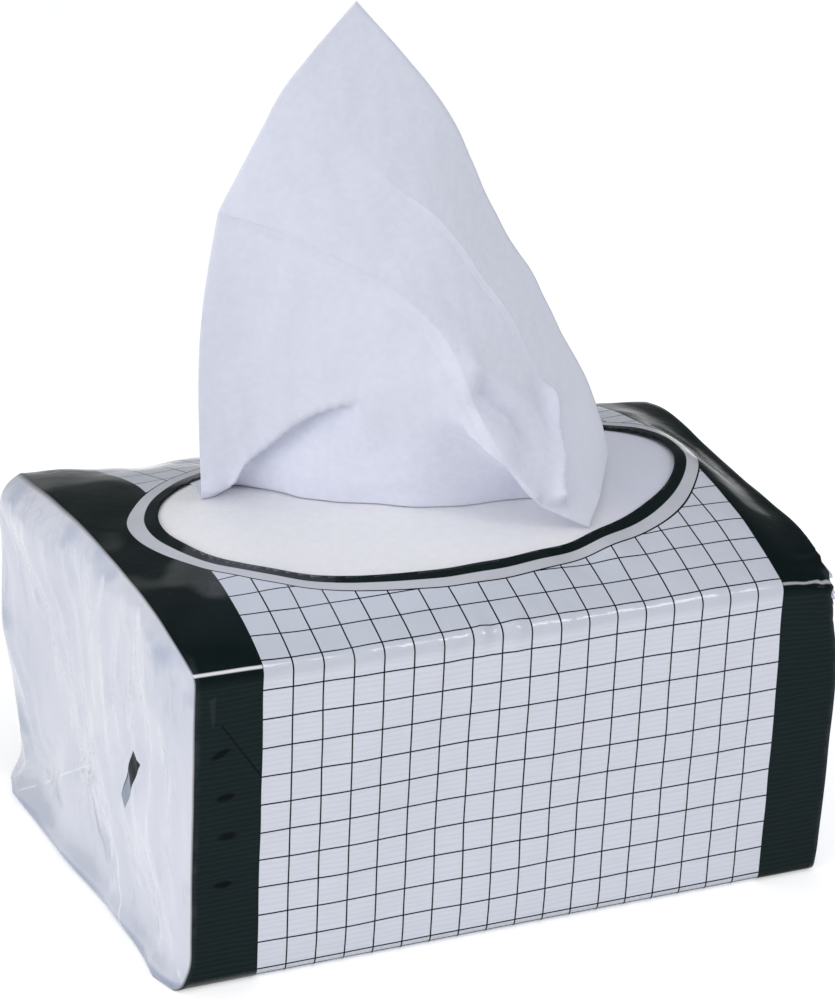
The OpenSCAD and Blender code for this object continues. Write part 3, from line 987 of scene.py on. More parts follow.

# %% [markdown]
# ### Film material: sides and top
# Through the front and back the folded edges of the wipes show as faint level lines, which wander a
# little. The top is painted darker than the sides, as painted shade, and the margin round the mouth is
# darker still.

# %% Sides and top
CLEAR, FOLD_SHADE = (0.745, 0.765, 0.850, 1.0), (0.67, 0.69, 0.785, 1.0)
TOP_SHADED, MARGIN = (0.63, 0.66, 0.745, 1.0), (0.58, 0.59, 0.64, 1.0)
FOLDS_PER_SQUARE, FOLD_WANDER, FOLD_SHARE = 5.4, 1.1, 0.55

wander = noise(stretch(film_at, 6.0, 6.0, 30.0), 8.0)
fold_run = v_cell * FOLDS_PER_SQUARE + wander * FOLD_WANDER
fold_wave = maths(film_tree, "SINE", fold_run * (2 * math.pi))
fold_lines = ramp(fold_wave, -0.2, 1.0) * on_side
body = mix_colour(fold_lines * FOLD_SHARE, CLEAR, FOLD_SHADE)
# painted shade: the top takes a darker copy of the clear film
body = mix_colour(on_side, TOP_SHADED, body)
body = mix_colour(1.0 - outside, body, MARGIN)
print("fold lines to a square:", FOLDS_PER_SQUARE)

# %% [markdown]
# ### Film material: shades of the folded ends
# The ends are loose film in several layers. Blue-grey patches show near the upper edge, soft clouds and
# broken upright streaks lie over the whole end and lean a little, and the foot is darker.

# %% Shades of the ends
PATCHES, PATCH_SHARE, PATCH_FROM_EDGE, PATCH_Z = (30.0, 0.50, 0.62), 0.75, (6.0, 22.0), (0.080, 0.105)
FOOT_DARK, FOOT_SOFT = (0.002, 0.005, 0.85), (0.002, 0.014, 0.22)
WRINKLES, WRINKLE_DETAIL, STREAK, STREAK_BREAKS = 150.0, 4.0, (0.0, 0.07, 0.32), (45.0, 0.45, 0.62)
CLOUDS = (28.0, 0.40, 0.66, 0.26)
FLAP_BORDER, FLAP_SHADE = 0.5, 0.10
LEFT_FACE = (-0.101, -0.099)

left_side = fade(film_x, *LEFT_FACE)
patches = blotches(stretch(film_at, 1.0, 1.0, 1.6), *PATCHES)
smudge = patches * fade(from_edge, *PATCH_FROM_EDGE) * ramp(film_z, *PATCH_Z)
foot_shade = highest(fade(film_z, *FOOT_DARK), fade(film_z, *FOOT_SOFT))
slanted = gather(film_x, film_y - film_z * END_SLANT, film_z)
wrinkle = abs(noise(stretch(slanted, 1.0, 1.0, 0.18), WRINKLES, WRINKLE_DETAIL) - 0.5)
streaks = fade(wrinkle, *STREAK) * blotches(film_at, *STREAK_BREAKS)
clouds = blotches(stretch(slanted, 1.0, 1.0, 0.5), *CLOUDS)
flap_shade = ramp(in_flap, -FLAP_BORDER, FLAP_BORDER, 0.0, FLAP_SHADE)
print("slant of the wrinkles:", END_SLANT)

# %% [markdown]
# ### Film material: marks on the left end
# The lower flap's edge has a painted highlight in places, the film is frayed at two heights of the back
# edge, and a small dark mark in the shape of a kite sits near the front, pale at its left and ringed by
# painted shade.

# %% Marks on the left end
KITE = [(-36.5, 68.5), (-42, 66), (-32, 45), (-29, 48.5)]
KITE_LEFT = [(-34, 60), (-36, 53), (-32, 45), (-29, 48.5)]
KITE_RIM, KITE_SHADE_W, KITE_SHADE = 0.15, 10.0, 0.22
MARK, MARK_PALE = (0.010, 0.013, 0.015, 1.0), (0.30, 0.34, 0.42, 1.0)
KITE_PALE = (-0.3, 0.5)
FLAP_GLINT, FLAP_GLINTS = (0.2, 0.6, 0.45), (60.0, 0.42, 0.58)
FRAY, FRAY_SCALE, FRAY_DETAIL = 0.024, 90.0, 3.0
UPPER_TEAR, LOWER_TEAR = (0.078, 0.087, 0.003), (0.026, 0.046, 0.005)
TEAR_Y, TEAR_SHARE = (0.068, 0.082), 0.7

in_kite = within(film_y, film_z, KITE) - ramp(film_x, *LEFT_FACE) * FAR
kite = ramp(in_kite, -KITE_RIM, KITE_RIM)
kite_tint = mix_colour(ramp(within(film_y, film_z, KITE_LEFT), *KITE_PALE), MARK, MARK_PALE)
# painted highlight along the lower flap's edge
painted_flap_glint = fade(abs(in_flap), *FLAP_GLINT) * left_side * blotches(film_at, *FLAP_GLINTS)
frayed = noise(film_at, FRAY_SCALE, FRAY_DETAIL) * FRAY
torn_z = film_z + frayed
tears = highest(window(torn_z, *UPPER_TEAR), window(torn_z, *LOWER_TEAR))
tears = tears * (ramp(film_y + frayed, *TEAR_Y) * left_side) * TEAR_SHARE
print("corners of the mark:", len(KITE))

# %% [markdown]
# ### Film material: the ends put together
# The shades and marks are laid over each other from the widest to the smallest, as layers of glaze would
# be, and the whole goes where the mesh says that it is an end.

# %% Ends put together
END_CLEAR, SMUDGE_AND_SHADE = (0.655, 0.670, 0.745, 1.0), (0.44, 0.48, 0.60, 1.0)
BASE_STRIP, EDGE_LINE = (0.20, 0.25, 0.37, 1.0), (0.42, 0.38, 0.36, 1.0)
SHINE = (0.97, 0.97, 0.98, 1.0)
EDGE_DARK = (0.5, 1.1, 0.8)

end_body = END_CLEAR
# among the layers: painted shade round the kite, and a painted highlight on the flap's edge
for layer_share, tint in (
        (smudge * PATCH_SHARE, SMUDGE_AND_SHADE), (ramp(in_kite, -KITE_SHADE_W, 0.0) * KITE_SHADE, SMUDGE_AND_SHADE),
        (foot_shade, BASE_STRIP), (fade(from_edge, *EDGE_DARK), EDGE_LINE), (clouds, SMUDGE_AND_SHADE),
        (streaks, SMUDGE_AND_SHADE), (flap_shade, SMUDGE_AND_SHADE), (painted_flap_glint, SHINE), (tears, BASE_STRIP), (kite, kite_tint)):
    end_body = mix_colour(layer_share, end_body, tint)
body = mix_colour(on_end, body, end_body)
print("end colour:", END_CLEAR[:3])

# %% [markdown]
# ### Film material: marks on the bands
# On the left band's front the photograph shows four small slits, a slanting crease and a pale gleam. The
# slits and the crease are painted darker, as painted shade, and the gleam is a painted highlight. The outer
# edge of both bands is worn. Along the front top edge each band has a thin painted highlight, and the ink
# on the front and back is painted lighter than on the top, as painted reflection.

# %% Marks on the bands
INK, INK_SIDE_SHEEN = (0.0050, 0.0110, 0.0115, 1.0), (0.0090, 0.0170, 0.0185, 1.0)
INK_FOLD, WEAR_AND_GLEAM = (0.0120, 0.0230, 0.0240, 1.0), (0.030, 0.036, 0.040, 1.0)
CREASE_SHADE = (0.0, 0.0, 0.0, 1.0)
SLITS = [(-103.6, 85.0, 0.4), (-101.7, 69.4, 0.1), (-100.8, 55.3, 0.05), (-101.8, 37.8, 0.0)]
SLIT_HALF, SLIT_SHARE = (3.6, 1.5), 0.75
BAND_CREASE = [(-90.1, 74.4), (-89.7, 74.9), (-103.2, 95.2), (-103.5, 94.7)]
BAND_GLEAM = [(-108.0, 104.0), (-106.5, 92.5), (-105.0, 97.0), (-104.8, 106.0)]
CREASE_RIM, GLEAM_RIM, FRONT_Y = (-0.05, 0.12), (0.0, 1.0, 0.0, 0.7), (-0.070, -0.066)
FILM_GRAIN, WORN_CELLS, WORN_CLOUD = 420.0, (10.95, 11.15), (0.3, 0.7)
EDGE_SHINE, SHINE_X = (0.02, 0.07, 0.85), (-0.05, 0.05, 1.0, 0.5)
EDGE_CELL = (FRONT_EDGE_RUN + 1.0 - PRINT_START) / SQUARE

front = fade(film_y, *FRONT_Y)
slits = [spot(film_x, film_z, (slit_x, slit_z), SLIT_HALF, rise) for slit_x, slit_z, rise in SLITS]
band_crease = ramp(within(film_x, film_z, BAND_CREASE), *CREASE_RIM)
film_cloud, _ = place_fibre(film_at, FILM_GRAIN)
worn = ramp(aside, *WORN_CELLS) * ramp(film_cloud, *WORN_CLOUD)
gleam = ramp(within(film_x, film_z, BAND_GLEAM), *GLEAM_RIM)
# painted reflection: the ink on the front and back is lighter than on the top
print_tint = mix_colour(on_side, INK, INK_SIDE_SHEEN)
# painted highlight (gleam) and real wear share one tint; the slits and the crease get painted shade
for layer_share, tint in ((fold_lines, INK_FOLD), (highest(gleam, worn) * front, WEAR_AND_GLEAM),
                          (highest(*slits, band_crease) * (front * SLIT_SHARE), CREASE_SHADE)):
    print_tint = mix_colour(layer_share, print_tint, tint)
# painted highlight along each band's front top edge
edge_shine = fade(abs(v_cell - EDGE_CELL), *EDGE_SHINE) * band
edge_shine = edge_shine * ramp(film_x, *SHINE_X) * off_end
film_colour = mix_colour(edge_shine, mix_colour(ink, body, print_tint), SHINE)
print("slits on the left band:", len(SLITS))

# %% [markdown]
# ### Film material: gloss
# Bare film is a bright clear coat, and the print is duller, so the coat goes away over the ink, apart from
# patches on the left band's top, which catch the light. The constants stay on the shader's own sockets.
# Ripples, fold lines and, on the ends, small facets bend the light.

# %% Gloss
BARE_IOR, INK_IOR, FILM_ROUGH = 1.5, 1.13, 0.14
FACET_SCALE, FACET_H, WRINKLE_H, FOLD_H = 38.0, 1.6, 1.5, 0.12
FILM_BUMP, FILM_DEEP = 0.22, 0.0012
RIPPLES, RIPPLE_DETAIL = 120.0, 3.0
LIFTED, LIFTED_X = (24.0, 0.46, 0.54, 0.9), (-0.06, -0.05)

ripple = noise(stretch(film_at, 1.0, 1.0, 0.5), RIPPLES, RIPPLE_DETAIL)
facets = wire(film_tree, "ShaderNodeTexVoronoi", "Distance",
              Scale=FACET_SCALE, Vector=stretch(slanted, 1.0, 1.0, 0.55))
crinkle = (facets * FACET_H - wrinkle * WRINKLE_H) * on_end
film_normal = bump(fold_lines * FOLD_H + ripple + crinkle, FILM_BUMP, FILM_DEEP)
lifted = blotches(film_at, *LIFTED) * (1.0 - on_side) * fade(film_x, *LIFTED_X)
dull = highest(ink * (1.0 - lifted), kite * on_end)
dress(film_shader, {
    "Base Color": film_colour, "Normal": film_normal, "Roughness": FILM_ROUGH, "IOR": INK_IOR,
    "Coat Weight": 1.0 - dull, "Coat Normal": film_normal, "Coat Roughness": FILM_ROUGH,
    "Coat IOR": BARE_IOR})
print("film nodes:", len(film_tree.nodes))

# %% [markdown]
# ### Film piece
# The grid becomes a mesh with its flat coordinates as a UV map and a few stored values: whether a point
# is on an end, on the front or back, in the lower flap, and how far it is from the mouth and from the
# end's edge. A thin wall closes the shell.

# %% Make the film
FILM_WALL = 0.12
RING_WIDE_AT, RING_WIDE_HALF, RING_WIDER = math.radians(-50), 0.3, 0.3
END_CELLS, RIM_FAR = 13, 60.0

face_list = [f.tolist() for group in faces for f in group]
used = np.zeros(len(film_points), bool)
used[[i for f in face_list for i in f]] = True
renumber = np.cumsum(used) - 1
face_list = [[int(renumber[i]) for i in f] for f in face_list]
film = make_piece("film", film_points[used], face_list, film_look)

flat_x = np.concatenate([x.ravel(), np.sign(film_points[n_tube:, 0]) * END_CELLS * SQUARE])
flat_v = np.concatenate([tube_run.ravel(), film_points[n_tube:, 2]])
rim_far = np.full(len(film_points), RIM_FAR)
outward = np.hypot(*mouth_place(x, y)) * (1 - 1 / np.maximum(mouth_share(x, y), 1e-6))
outward *= 1 - RING_WIDER * bell(turn_at - RING_WIDE_AT, RING_WIDE_HALF)
rim_far[:n_tube] = np.where(on_top, np.clip(outward, -1, RIM_FAR), RIM_FAR).ravel()
side_mark = np.zeros(len(film_points))
side_mark[:n_tube] = np.broadcast_to(np.isin(part_of, ["front", "back"]), x.shape).ravel()
stored = {"on_end": film_ends, "from_mouth": rim_far, "on_side": side_mark,
          "in_flap": film_flap, "from_edge": film_inward}
for name, values in stored.items():
    layer = film.data.attributes.new(name, "FLOAT", "POINT")
    layer.data.foreach_set("value", values[used])
corner_point = np.empty(len(film.data.loops), int)
film.data.loops.foreach_get("vertex_index", corner_point)
cell_u = flat_x[used] / SQUARE
cell_v = (flat_v[used] - PRINT_START) / SQUARE
print_map = film.data.uv_layers.new(name="print")
print_map.data.foreach_set("uv", np.stack([cell_u, cell_v], axis=1)[corner_point].ravel())
thicken(film, FILM_WALL, -1)
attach(film, "root")
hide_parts("film_wrapper")
print("film triangles:", sum(len(p.vertices) - 2 for p in film.data.polygons))

# %% [markdown]
# ## The stack
# Some fifty folded wipes fill the film, one on the other, each a flat slab with round folded edges at
# the front and back. A shape that repeats by a rule is what Geometry Nodes are for: a folded slab is
# made once, set on a line of points, jogged a little by a seeded random value, and bowed up in the
# middle by a rule that follows the height, as a filled pack bows.

# %% Inputs of the folded stack
FOLD_FILL = 0.48

tree = bpy.data.node_groups.new("folded_stack", "GeometryNodeTree")
for name, kind in (("Count", "Int"), ("Pitch", "Float"), ("Depth", "Float"), ("Length", "Float"),
                   ("Bow", "Float"), ("Jog", "Float"), ("Seed", "Int"), ("Cloth", "Material")):
    tree.interface.new_socket(name, in_out="INPUT", socket_type="NodeSocket" + kind)
tree.interface.new_socket("Geometry", in_out="OUTPUT", socket_type="NodeSocketGeometry")
given = {socket.name: Wire(tree, socket) for socket in add(tree, "NodeGroupInput").outputs}
half_deep, half_long = given["Depth"] * 0.5, given["Length"] * 0.5
half_fold = given["Pitch"] * FOLD_FILL
print("stack inputs:", [s.name for s in tree.interface.items_tree if s.in_out == "INPUT"])

# %% [markdown]
# ### One slab, many places
# The slab's end view starts as a circle. Its width is stretched to the depth of the pack and its height
# is stretched, then cut off flat, which leaves a flat fold with round edges. Swept along a line it is a
# folded wipe, and copies of it go on a line of points.

# %% Slab and copies
ROUND, ROUND_STEPS, LONG_STEPS = 5.0, 48, 9
FIRST_AT = 0.75

circle = wire(tree, "GeometryNodeCurvePrimitiveCircle", Resolution=ROUND_STEPS, Radius=1.0)
ring_x, ring_y, _ = split(wire(tree, "GeometryNodeInputPosition"))
flat_y = lowest(highest(ring_y * ROUND, -1.0), 1.0)
outline = wire(tree, "GeometryNodeSetPosition", Geometry=circle,
               Position=gather(ring_x * half_deep, flat_y * half_fold, 0.0))
sweep = wire(tree, "GeometryNodeCurvePrimitiveLine",
             Start=gather(half_long * -1.0, 0.0, 0.0), End=gather(half_long, 0.0, 0.0))
sweep = wire(tree, "GeometryNodeResampleCurve", Curve=sweep, Count=LONG_STEPS)
slab = wire(tree, "GeometryNodeCurveToMesh", Curve=sweep, Profile_Curve=outline, Fill_Caps=True)
places = wire(tree, "GeometryNodeMeshLine", Count=given["Count"],
              Start_Location=gather(0.0, 0.0, given["Pitch"] * FIRST_AT),
              Offset=gather(0.0, 0.0, given["Pitch"]))
copies = wire(tree, "GeometryNodeInstanceOnPoints", Points=places, Instance=slab)
print("points round a slab:", ROUND_STEPS)

# %% [markdown]
# ### Jog and bow
# No stack is quite even, so each copy is jogged along the pack by a random value with a fixed seed. The
# bow is added after the copies are made real, because it depends on where each point lies.

# %% Jog and bow
random = add(tree, "FunctionNodeRandomValue")
random.data_type = "FLOAT_VECTOR"
for name, value in (("Min", gather(given["Jog"] * -1.0, 0.0, 0.0)), ("Max", gather(given["Jog"], 0.0, 0.0)),
                    ("Seed", given["Seed"])):
    plug(random.inputs[name], value)
copies = wire(tree, "GeometryNodeTranslateInstances", Instances=copies,
              Translation=Wire(tree, random.outputs[0]))
real = wire(tree, "GeometryNodeRealizeInstances", Geometry=copies)
at_x, at_y, at_z = split(wire(tree, "GeometryNodeInputPosition"))
height_share = at_z / (given["Count"] * given["Pitch"])
across_bow = 1.0 - (at_y / half_deep) ** 2.0
along_bow = 1.0 - abs(at_x / half_long) ** 4.0
bow = across_bow * along_bow * (height_share * given["Bow"])
bowed = wire(tree, "GeometryNodeSetPosition", Geometry=real, Offset=gather(0.0, 0.0, bow))
dressed = wire(tree, "GeometryNodeSetMaterial", Geometry=bowed, Material=given["Cloth"])
add(tree, "NodeGroupOutput", Geometry=dressed)
print("stack nodes:", len(tree.nodes))

# %% [markdown]
# ### The stack made
# The tree gets the pack's sizes, and its result is turned into a plain mesh.

# %% Make the stack
STACK = {"Count": 53, "Pitch": 2.0 * MM, "Depth": 147.6 * MM, "Length": 219.0 * MM,
         "Bow": 14.0 * MM, "Jog": 0.4 * MM, "Seed": 7, "Cloth": cloth}

stack = bpy.data.objects.new("folded_wipes", bpy.data.meshes.new("folded_wipes"))
bpy.context.scene.collection.objects.link(stack)
maker = stack.modifiers.new("folded_stack", "NODES")
maker.node_group = tree
for socket in tree.interface.items_tree:
    if socket.in_out == "INPUT":
        maker[socket.identifier] = STACK[socket.name]
settle(stack)
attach(stack, "root")
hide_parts("wipe_stack")
stack_z = [v.co.z / MM for v in stack.data.vertices]
print("stack in mm:", round(min(stack_z), 1), "to", round(max(stack_z), 1))

# %% [markdown]
# ## The next wipe
# Under the mouth lies the next wipe in line, folded over the stack: its upper panel fills the oval and
# its lower panel runs back beneath. Its free edge is caught in the fold of the wipe above it, which is
# how the pull of one wipe brings up the next. It is one sheet drawn along a folded line.

# %% Next wipe
LAYER_TAIL, LAYER_NEXT, LAYER_RETURN, LAYER_LOWER = 0.9, 1.4, 1.9, 2.4
WIPE_T, BEND_R = 0.22, 0.5
NEXT_EDGE, NEXT_FREE_Y, NEXT_LOWER_Y = 69.6, 64, 70
NEXT_ROWS, NEXT_LOWER_ROWS, NEXT_COLUMNS, BEND_STEPS = 130, 60, 130, 9
OPEN_RISE, MIDDLE_RISE, MOUTH_SWELLS = 0.75, 0.5, ((0.5, 60, 51), (0.2, 24, 52))


def mouth_swell(x, y):
    """How far the top wipes rise in the open mouth, where the film no longer holds them down."""
    open_share = 1 - smooth_step(0.97, 1.06, mouth_share(x, y))
    middle = 1 - smooth_step(0.3, 0.95, mouth_share(x, y))
    where = np.stack([x, y], axis=-1)
    return open_share * OPEN_RISE + middle * (MIDDLE_RISE + swells(where, *MOUTH_SWELLS))


upper_y = np.linspace(NEXT_FREE_Y, -NEXT_EDGE, NEXT_ROWS)
bend = np.linspace(0, math.pi, BEND_STEPS)[1:-1]
lower_y = np.linspace(-NEXT_EDGE, NEXT_LOWER_Y, NEXT_LOWER_ROWS)
path_y = np.concatenate([upper_y, -NEXT_EDGE - BEND_R * np.sin(bend), lower_y])
path_under = np.concatenate([np.full(len(upper_y), LAYER_NEXT), LAYER_RETURN - BEND_R * np.cos(bend),
                             np.full(len(lower_y), LAYER_LOWER)])
next_x = np.linspace(-WIPE_W / 2, WIPE_W / 2, NEXT_COLUMNS)
next_grid = np.empty((len(path_y), len(next_x), 3))
next_grid[..., 0] = next_x
next_grid[..., 1] = path_y[:, None]
next_grid[..., 2] = arch_at(path_y, path_under)[:, None]
is_upper = (np.arange(len(path_y)) < len(upper_y))[:, None]
next_grid[..., 2] += np.where(is_upper, mouth_swell(next_grid[..., 0], next_grid[..., 1]), 0)
next_grid[..., 2] += top_drop(next_grid[..., 0], next_grid[..., 1])
next_wipe = make_piece("next_wipe_sheet", next_grid.reshape(-1, 3),
                       grid_faces(*next_grid.shape[:2]).tolist(), inner_cloth)
thicken(next_wipe, WIPE_T, 0)
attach(next_wipe, "root")
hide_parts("next_wipe")
print("next wipe grid:", next_grid.shape[:2])

# %% [markdown]
# ## The pulled wipe
# One corner of the wipe's leading edge is drawn up, so the sheet stands as a leaning cone that doubles
# back on itself along its factory crease. A cloth simulation pinned at one corner falls in a new way
# each time the pins move, so the sheet is lofted instead: six lines across it, taken from the CAD
# source, are joined by smooth columns, and the photograph's creases are pressed in afterwards.

# %% Lines of the pulled wipe
LINES = {
    "base": [
        (-0.781, 0.290, 0), (-0.732, 0.293, 0), (-0.668, 0.379, 0), (-0.628, 0.446, 0),
        (-0.546, 0.305, 0), (-0.491, 0.168, 0), (-0.445, 0.041, 0), (-0.371, -0.056, 0),
        (-0.292, -0.134, 0), (-0.201, -0.223, 0), (-0.109, -0.309, 0), (-0.006, -0.350, 0),
        (0.090, -0.372, 0), (0.221, -0.377, 0), (0.340, -0.390, 0), (0.399, -0.487, 0),
        (0.443, -0.623, 0),
    ],
    "hem": [
        (-0.800, 0.200, 0.030), (-0.758, 0.165, 0.030), (-0.705, 0.140, 0.034), (-0.648, 0.115, 0.045),
        (-0.600, 0.085, 0.060), (-0.550, 0.045, 0.068), (-0.490, -0.040, 0.065), (-0.408, -0.125, 0.064),
        (-0.316, -0.206, 0.064), (-0.228, -0.282, 0.065), (-0.136, -0.353, 0.067), (-0.040, -0.397, 0.067),
        (0.056, -0.422, 0.067), (0.192, -0.445, 0.058), (0.328, -0.451, 0.044), (0.399, -0.547, 0.028),
        (0.446, -0.667, 0.015),
    ],
    "belly": [
        (-0.872, 0, 0.376), (-0.722, -0.039, 0.355), (-0.583, -0.157, 0.333), (-0.432, -0.255, 0.299),
        (-0.292, -0.373, 0.272), (-0.150, -0.471, 0.244), (-0.003, -0.549, 0.212), (0.230, -0.588, 0.097),
        (0.454, -0.745, 0.010),
    ],
    "crease": [
        (-0.819, -0.118, 0.632), (-0.606, -0.237, 0.592), (-0.406, -0.345, 0.534), (-0.211, -0.456, 0.472),
        (-0.054, -0.557, 0.385), (0.025, -0.670, 0.275), (0.118, -0.751, 0.166), (0.261, -0.795, 0.067),
        (0.462, -0.824, 0.004),
    ],
    "second": [
        (-0.596, -0.118, 0.857), (-0.410, -0.183, 0.765), (-0.238, -0.250, 0.674), (-0.049, -0.305, 0.590),
        (0.099, -0.334, 0.481), (0.245, -0.359, 0.371), (0.357, -0.387, 0.252), (0.436, -0.464, 0.127),
        (0.550, -0.627, 0.024),
    ],
    "lead": [
        (-0.342, -0.118, 1.008), (-0.162, -0.078, 0.900), (0.009, -0.037, 0.787), (0.146, 0.009, 0.664),
        (0.270, 0.048, 0.535), (0.414, 0.073, 0.412), (0.545, 0.078, 0.284), (0.672, 0.065, 0.155),
        (0.739, -0.039, 0.018),
    ],
}
LINE_X, LINE_Y, LINE_AT_X, LINE_AT_Y = 91.5, 51.0, -4.5, 6.0
print("lines across the wipe:", list(LINES))

# %% [markdown]
# ### Loft of the pulled wipe
# Rows between the lines steer the columns: rows close together make a crease sharp, and rows that are
# drawn apart soften it. The first crease is softened in its middle and right part, and the second one
# near the left edge.

# %% Loft the pulled wipe
ACROSS, UP = 130, 230
TUCK_LEFT, TUCK_RIGHT = 28.0, 18.0
SOFT_FOLD, SOFT_SECOND = 0.16, 0.25


def through(line, shares):
    """Smooth line through its points, at shares of its length."""
    pts = np.asarray(line, float)
    last = len(pts) - 1
    i = np.minimum((shares * last).astype(int), last - 1)
    f = (shares * last - i)[:, None]
    a, b, c, d = pts[np.maximum(i - 1, 0)], pts[i], pts[i + 1], pts[np.minimum(i + 2, last)]
    return b + f / 2 * ((c - a) + f * ((2 * a - 5 * b + 4 * c - d) + f * (3 * (b - c) + d - a)))


def towards(rows, shares):
    """Smooth columns drawn towards rows of points, at shares of their length."""
    pts = np.concatenate([2 * rows[:1] - rows[1:2], rows, 2 * rows[-1:] - rows[-2:-1]])
    last = len(rows) - 1
    i = np.minimum((shares * last).astype(int), last - 1)
    f = (shares * last - i)[:, None, None]
    a, b, c, d = pts[i], pts[i + 1], pts[i + 2], pts[i + 3]
    return ((1 - f) ** 3 * a + (3 * f ** 3 - 6 * f * f + 4) * b
            + (3 * f * f + 3 * f + 1 - 3 * f ** 3) * c + f ** 3 * d) / 6


def mix(a, b, t):
    """Point at share t between two."""
    return a + (b - a) * t


across = np.linspace(0, 1, ACROSS)
line = {name: through(pts, across) for name, pts in LINES.items()}
tail_x = mix(-WIPE_W / 2, WIPE_W / 2, across)
tail_y = np.full(ACROSS, (TAIL_Y - LINE_AT_Y) / LINE_Y)
tail = np.stack([(tail_x - LINE_AT_X) / LINE_X, tail_y, np.zeros(ACROSS)], axis=1)
hidden_in = np.zeros((ACROSS, 3))
hidden_in[:, 0] = (TUCK_LEFT * (1 - across) ** 3 - TUCK_RIGHT * across ** 3) / LINE_X
gap_open = np.zeros((ACROSS, 3))
gap_open[:, 2] = across * CREASE_GAP / PULL_H / 2
base, hem, belly, fold, second, lead = (line[name] for name in LINES)
panel = mix(fold, second, 0.5)
soft_fold = SOFT_FOLD * smooth_step(0.25, 0.62, across) * (1 - smooth_step(0.72, 0.92, across))
soft_fold = soft_fold[:, None]
soft_second = (SOFT_SECOND * (1 - smooth_step(0.08, 0.30, across)))[:, None]
rows = np.stack([
    tail, mix(base, tail, 0.65) + hidden_in, mix(base, tail, 0.08) + 0.1 * hidden_in, base, base,
    mix(base, hem, 0.7), hem, belly,
    mix(fold, belly, 0.15 + soft_fold) - gap_open, mix(fold, belly, 0.5 * soft_fold),
    mix(fold, panel, 0.5 * soft_fold), mix(fold, panel, 0.2 + soft_fold) + gap_open, panel,
    mix(second, panel, 0.2 + soft_second), mix(second, panel, 0.5 * soft_second),
    mix(second, lead, 0.5 * soft_second), mix(second, lead, 0.2 + soft_second), lead])
rows[..., 2] = np.maximum(rows[..., 2], 0)
up = np.linspace(0, 1, UP)
laid = towards(rows, up)
sheet = np.empty((UP, ACROSS, 3))
sheet[..., 0] = LINE_AT_X + laid[..., 0] * LINE_X
sheet[..., 1] = LINE_AT_Y + laid[..., 1] * LINE_Y
low_share = 1 - smooth_step(0.0, 0.12, laid[..., 2])
sheet[..., 2] = arch_at(sheet[..., 1], LAYER_TAIL) + laid[..., 2] * PULL_H
settling = mouth_swell(sheet[..., 0], sheet[..., 1]) + top_drop(sheet[..., 0], sheet[..., 1])
sheet[..., 2] += low_share * settling
print("pulled wipe grid:", sheet.shape[:2])

# %% [markdown]
# ### Smaller folds of the pulled wipe
# The two long creases are rows of the loft. The rest is pressed in: at the lower left a soft lobe
# overhangs a shaded hollow, at the right a pleat ends in a pointed nose in front of the front panel, and
# narrow folds run down to the foot. Each is a line drawn on the flat sheet (share across, share up)
# along which the sheet is pushed in or out.

# %% Drawn folds
SHEET_W = 170.0
VALLEYS = [
    ([(0.610, 0.590), (0.672, 0.660), (0.728, 0.682), (0.766, 0.682), (0.790, 0.672), (0.797, 0.637)],
     -5.0, 3.4),
    ([(0.530, 0.600), (0.580, 0.632), (0.650, 0.684), (0.695, 0.706), (0.725, 0.718), (0.764, 0.718)],
     2.4, 4.0),
    ([(0.736, 0.764), (0.760, 0.757), (0.790, 0.753), (0.828, 0.749)], -3.2, 3.0),
    ([(0.816, 0.952), (0.870, 0.934), (0.909, 0.860), (0.948, 0.729)], -1.2, 5.0),
    ([(0.886, 0.983), (0.932, 0.978), (0.963, 0.969)], 1.2, 5.0),
    ([(0.020, 0.541), (0.093, 0.546), (0.170, 0.535), (0.270, 0.537)], -0.7, 4.0),
]
LAPS = [
    ([(0.468, 0.408), (0.445, 0.403), (0.403, 0.396), (0.364, 0.389), (0.326, 0.379), (0.279, 0.368),
      (0.240, 0.361), (0.180, 0.353), (0.115, 0.300)],
     {"out": 1.8, "out_w": 16.0, "deep": -7.5, "drop_w": (3.0, 8.0), "back_w": 10.0}),
    ([(0.880, 0.570), (0.840, 0.568), (0.803, 0.564), (0.772, 0.552), (0.750, 0.525), (0.737, 0.500),
      (0.722, 0.476), (0.706, 0.455)],
     {"out": 2.0, "out_w": 12.0, "deep": -7.0, "drop_w": (3.0, 4.0), "back_w": 7.0}),
    ([(0.746, 0.882), (0.785, 0.812), (0.824, 0.773), (0.868, 0.734), (0.897, 0.672), (0.920, 0.616)],
     {"out": 6.5, "out_w": 11.0, "deep": 0.0, "drop_w": (4.0, 6.0), "back_w": 10.0}),
]
print("folds to press in:", len(VALLEYS), "and", len(LAPS))

# %% [markdown]
# ### Tools for a lobe
# A lobe ends sharply at its line and drops into a hollow beyond it, so unlike a crease it needs to know on
# which side of the line a point lies.

# %% Lobes
def off_line(points, line):
    """Signed distance to a drawn line, positive on the left of its run, and the plain share along it."""
    line = np.asarray(line, float)
    steps = np.linalg.norm(np.diff(line, axis=0), axis=1)
    before = np.concatenate([[0], np.cumsum(steps)])
    best = np.full(points.shape[:-1], 1e9)
    side = np.zeros(points.shape[:-1])
    share = np.zeros(points.shape[:-1])
    for a, b, start, length in zip(line[:-1], line[1:], before, steps):
        way = b - a
        t = np.clip((points - a) @ way / (way @ way), 0, 1)
        off = points - (a + t[..., None] * way)
        gap = np.linalg.norm(off, axis=-1)
        turn = way[0] * off[..., 1] - way[1] * off[..., 0]
        side = np.where(gap < best, np.sign(turn) * gap, side)
        share = np.where(gap < best, (start + t * length) / before[-1], share)
        best = np.minimum(gap, best)
    return side, share


